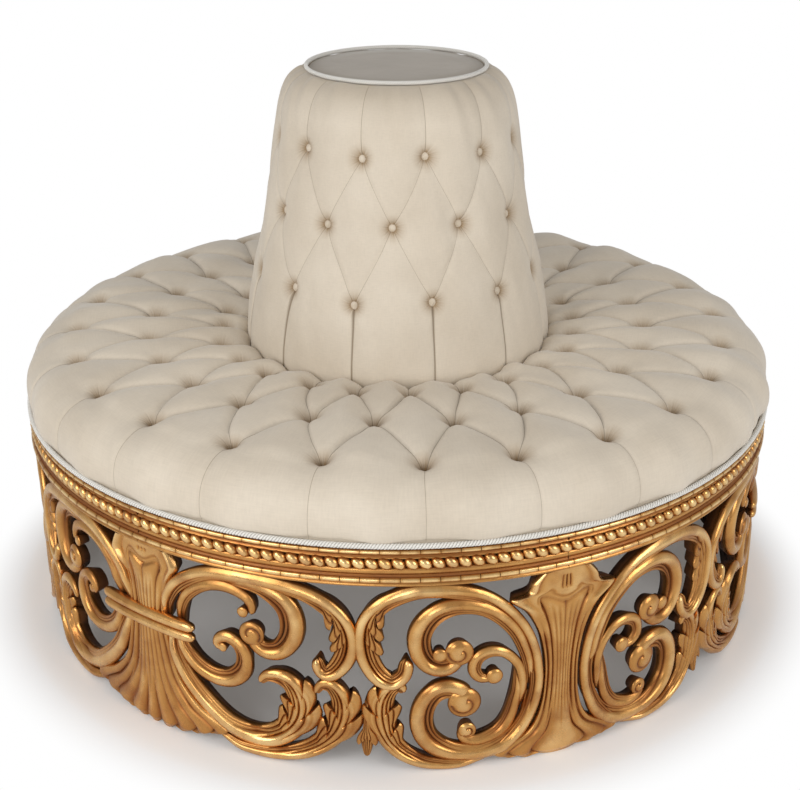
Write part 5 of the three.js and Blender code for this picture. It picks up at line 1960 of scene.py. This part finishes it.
@dataclass(frozen=True)
class Studio:
    """Floor, light and camera."""

    distance: float = 2.6885
    height: float = 1.547
    shift: float = 0.00446
    pitch: float = 0.4131
    roll: float = -0.0032
    azimuth: float = math.radians(-22.7)
    lens: float = 67.56
    room: float = 0.51
    white_from: float = 0.71  # radii between which the floor fades to white
    white_by: float = 0.85
    painted_glow: float = 0.13  # share of painted glow that the camera sees on the floor under the sofa
    floor_reach: float = 40.0
    aim: float = 0.4  # height that the lamps look at

    def camera(self) -> None:
        """Set the camera where the photograph was taken."""
        data = bpy.data.cameras.new("view")
        data.lens = self.lens
        data.sensor_width = 36
        data.sensor_fit = "HORIZONTAL"
        spot = Matrix.Translation((self.shift, -self.distance, self.height))
        aimed = Matrix.Rotation(math.pi / 2 - self.pitch, 4, "X") @ Matrix.Rotation(self.roll, 4, "Z")
        camera = add_object("view", data)
        camera.matrix_world = Matrix.Rotation(self.azimuth, 4, "Z") @ spot @ aimed
        bpy.context.scene.camera = camera

    def floor(self) -> None:
        """Lay a wide pale floor that the camera sees fade to white away from the sofa, with a faint warm
        painted glow under it.
        """
        shader = Shader("pale_floor", Roughness=0.9, Specular_IOR_Level=0.1)
        place = shader.place()
        cloud = shader.noise(place, 0.8, 2)
        shader.feed(Base_Color=shader.mix(cloud, (0.93, 0.93, 0.93, 1), (0.9, 0.9, 0.9, 1)))
        flat = shader.across("MULTIPLY", place, (1, 1, 0)).outputs[0]
        away = shader.across("LENGTH", flat).outputs["Value"]
        ring = shader.out("ShaderNodeMapRange", {
            0: away, 1: self.white_from, 2: self.white_by, 3: self.painted_glow}, interpolation_type="SMOOTHSTEP")
        seen = shader.sum("MULTIPLY", ring, shader.camera_ray())
        # The painted glow is warm under the sofa and white further out.
        glow_tint = shader.ramp(ring, [(0.15, (1.0, 0.92, 0.84, 1)), (0.4, WHITE)])
        painted_glow = shader.out("ShaderNodeEmission", {"Color": glow_tint, "Strength": 1.0})
        both = shader.out("ShaderNodeMixShader", {0: seen, 1: shader.shader.outputs[0], 2: painted_glow})
        shader.tree.links.new(both, shader.tree.nodes["Material Output"].inputs["Surface"])
        far = self.floor_reach
        mesh = new_mesh("floor", [(-far, -far, 0), (far, -far, 0), (far, far, 0), (-far, far, 0)],
                        [(0, 1, 2, 3)])
        mesh.materials.append(shader.material)
        add_object("floor", mesh)

    def lamp(self, name: str, bearing: float, height: float, distance: float, size: float,
             power: float) -> None:
        """Hang a square soft lamp that looks at the sofa.

        Args:
            name: the lamp's name.
            bearing: degrees round the sofa, zero at the camera.
            height: over the floor.
            distance: from the axis.
            size: of its side.
            power: in watts.
        """
        data = bpy.data.lights.new(name, "AREA")
        data.size = size
        data.energy = power
        lamp = add_object(name, data)
        angle = self.azimuth + math.radians(bearing)
        at = Vector((distance * math.sin(angle), -distance * math.cos(angle), height))
        ahead = Vector((0, 0, self.aim)) - at
        lamp.matrix_world = Matrix.Translation(at) @ ahead.to_track_quat("-Z", "Y").to_matrix().to_4x4()

    def world(self) -> None:
        """Light the room softly, white where the camera sees it."""
        world = bpy.data.worlds.new("studio")
        bpy.context.scene.world = world
        world.use_nodes = True
        sky = Layout(world.node_tree)
        strength = sky.sum("MULTIPLY_ADD", sky.camera_ray(), 1 - self.room, self.room)
        background = sky.tree.nodes["Background"]
        background.inputs["Color"].default_value = WHITE
        sky.tree.links.new(strength, background.inputs["Strength"])

    def build(self) -> None:
        """Make the stage."""
        bpy.context.scene.view_settings.view_transform = "Standard"
        self.camera()
        self.floor()
        self.world()
        self.lamp("key", -42, 1.9, 3.4, 1.9, 47)
        self.lamp("fill", 50, 1.7, 3.6, 1.7, 38)
        self.lamp("front", -12, 1.0, 3.8, 0.9, 11.5)


def main() -> None:
    """Build the sofa and its stage, piece by piece."""
    logging.basicConfig(level=logging.INFO, format="%(name)s %(message)s")
    finishes = Finishes()
    Studio().build()
    Carving().build(finishes)
    Rail().build(finishes)
    TrimCord("twisted_seat_cord", "seat_trim_cord", 0.696, 0.4228, 0.0051, 285).build(finishes)
    TrimCord("twisted_top_cord", "back_trim_cord", 0.1612, 1.0130, 0.0040, 84).build(finishes)
    SEAT.build(finishes, 0.0075, 0.001)
    BACK.build(finishes, 0.0082, 0.0025)
    SEAT_FOAM.build(finishes.foam)
    BACK_FOAM.build(finishes.foam)
    TOP_PAD.build(finishes.shaded_top_fabric)
    HiddenFrame().build(finishes)


if __name__ == "__main__":
    main()
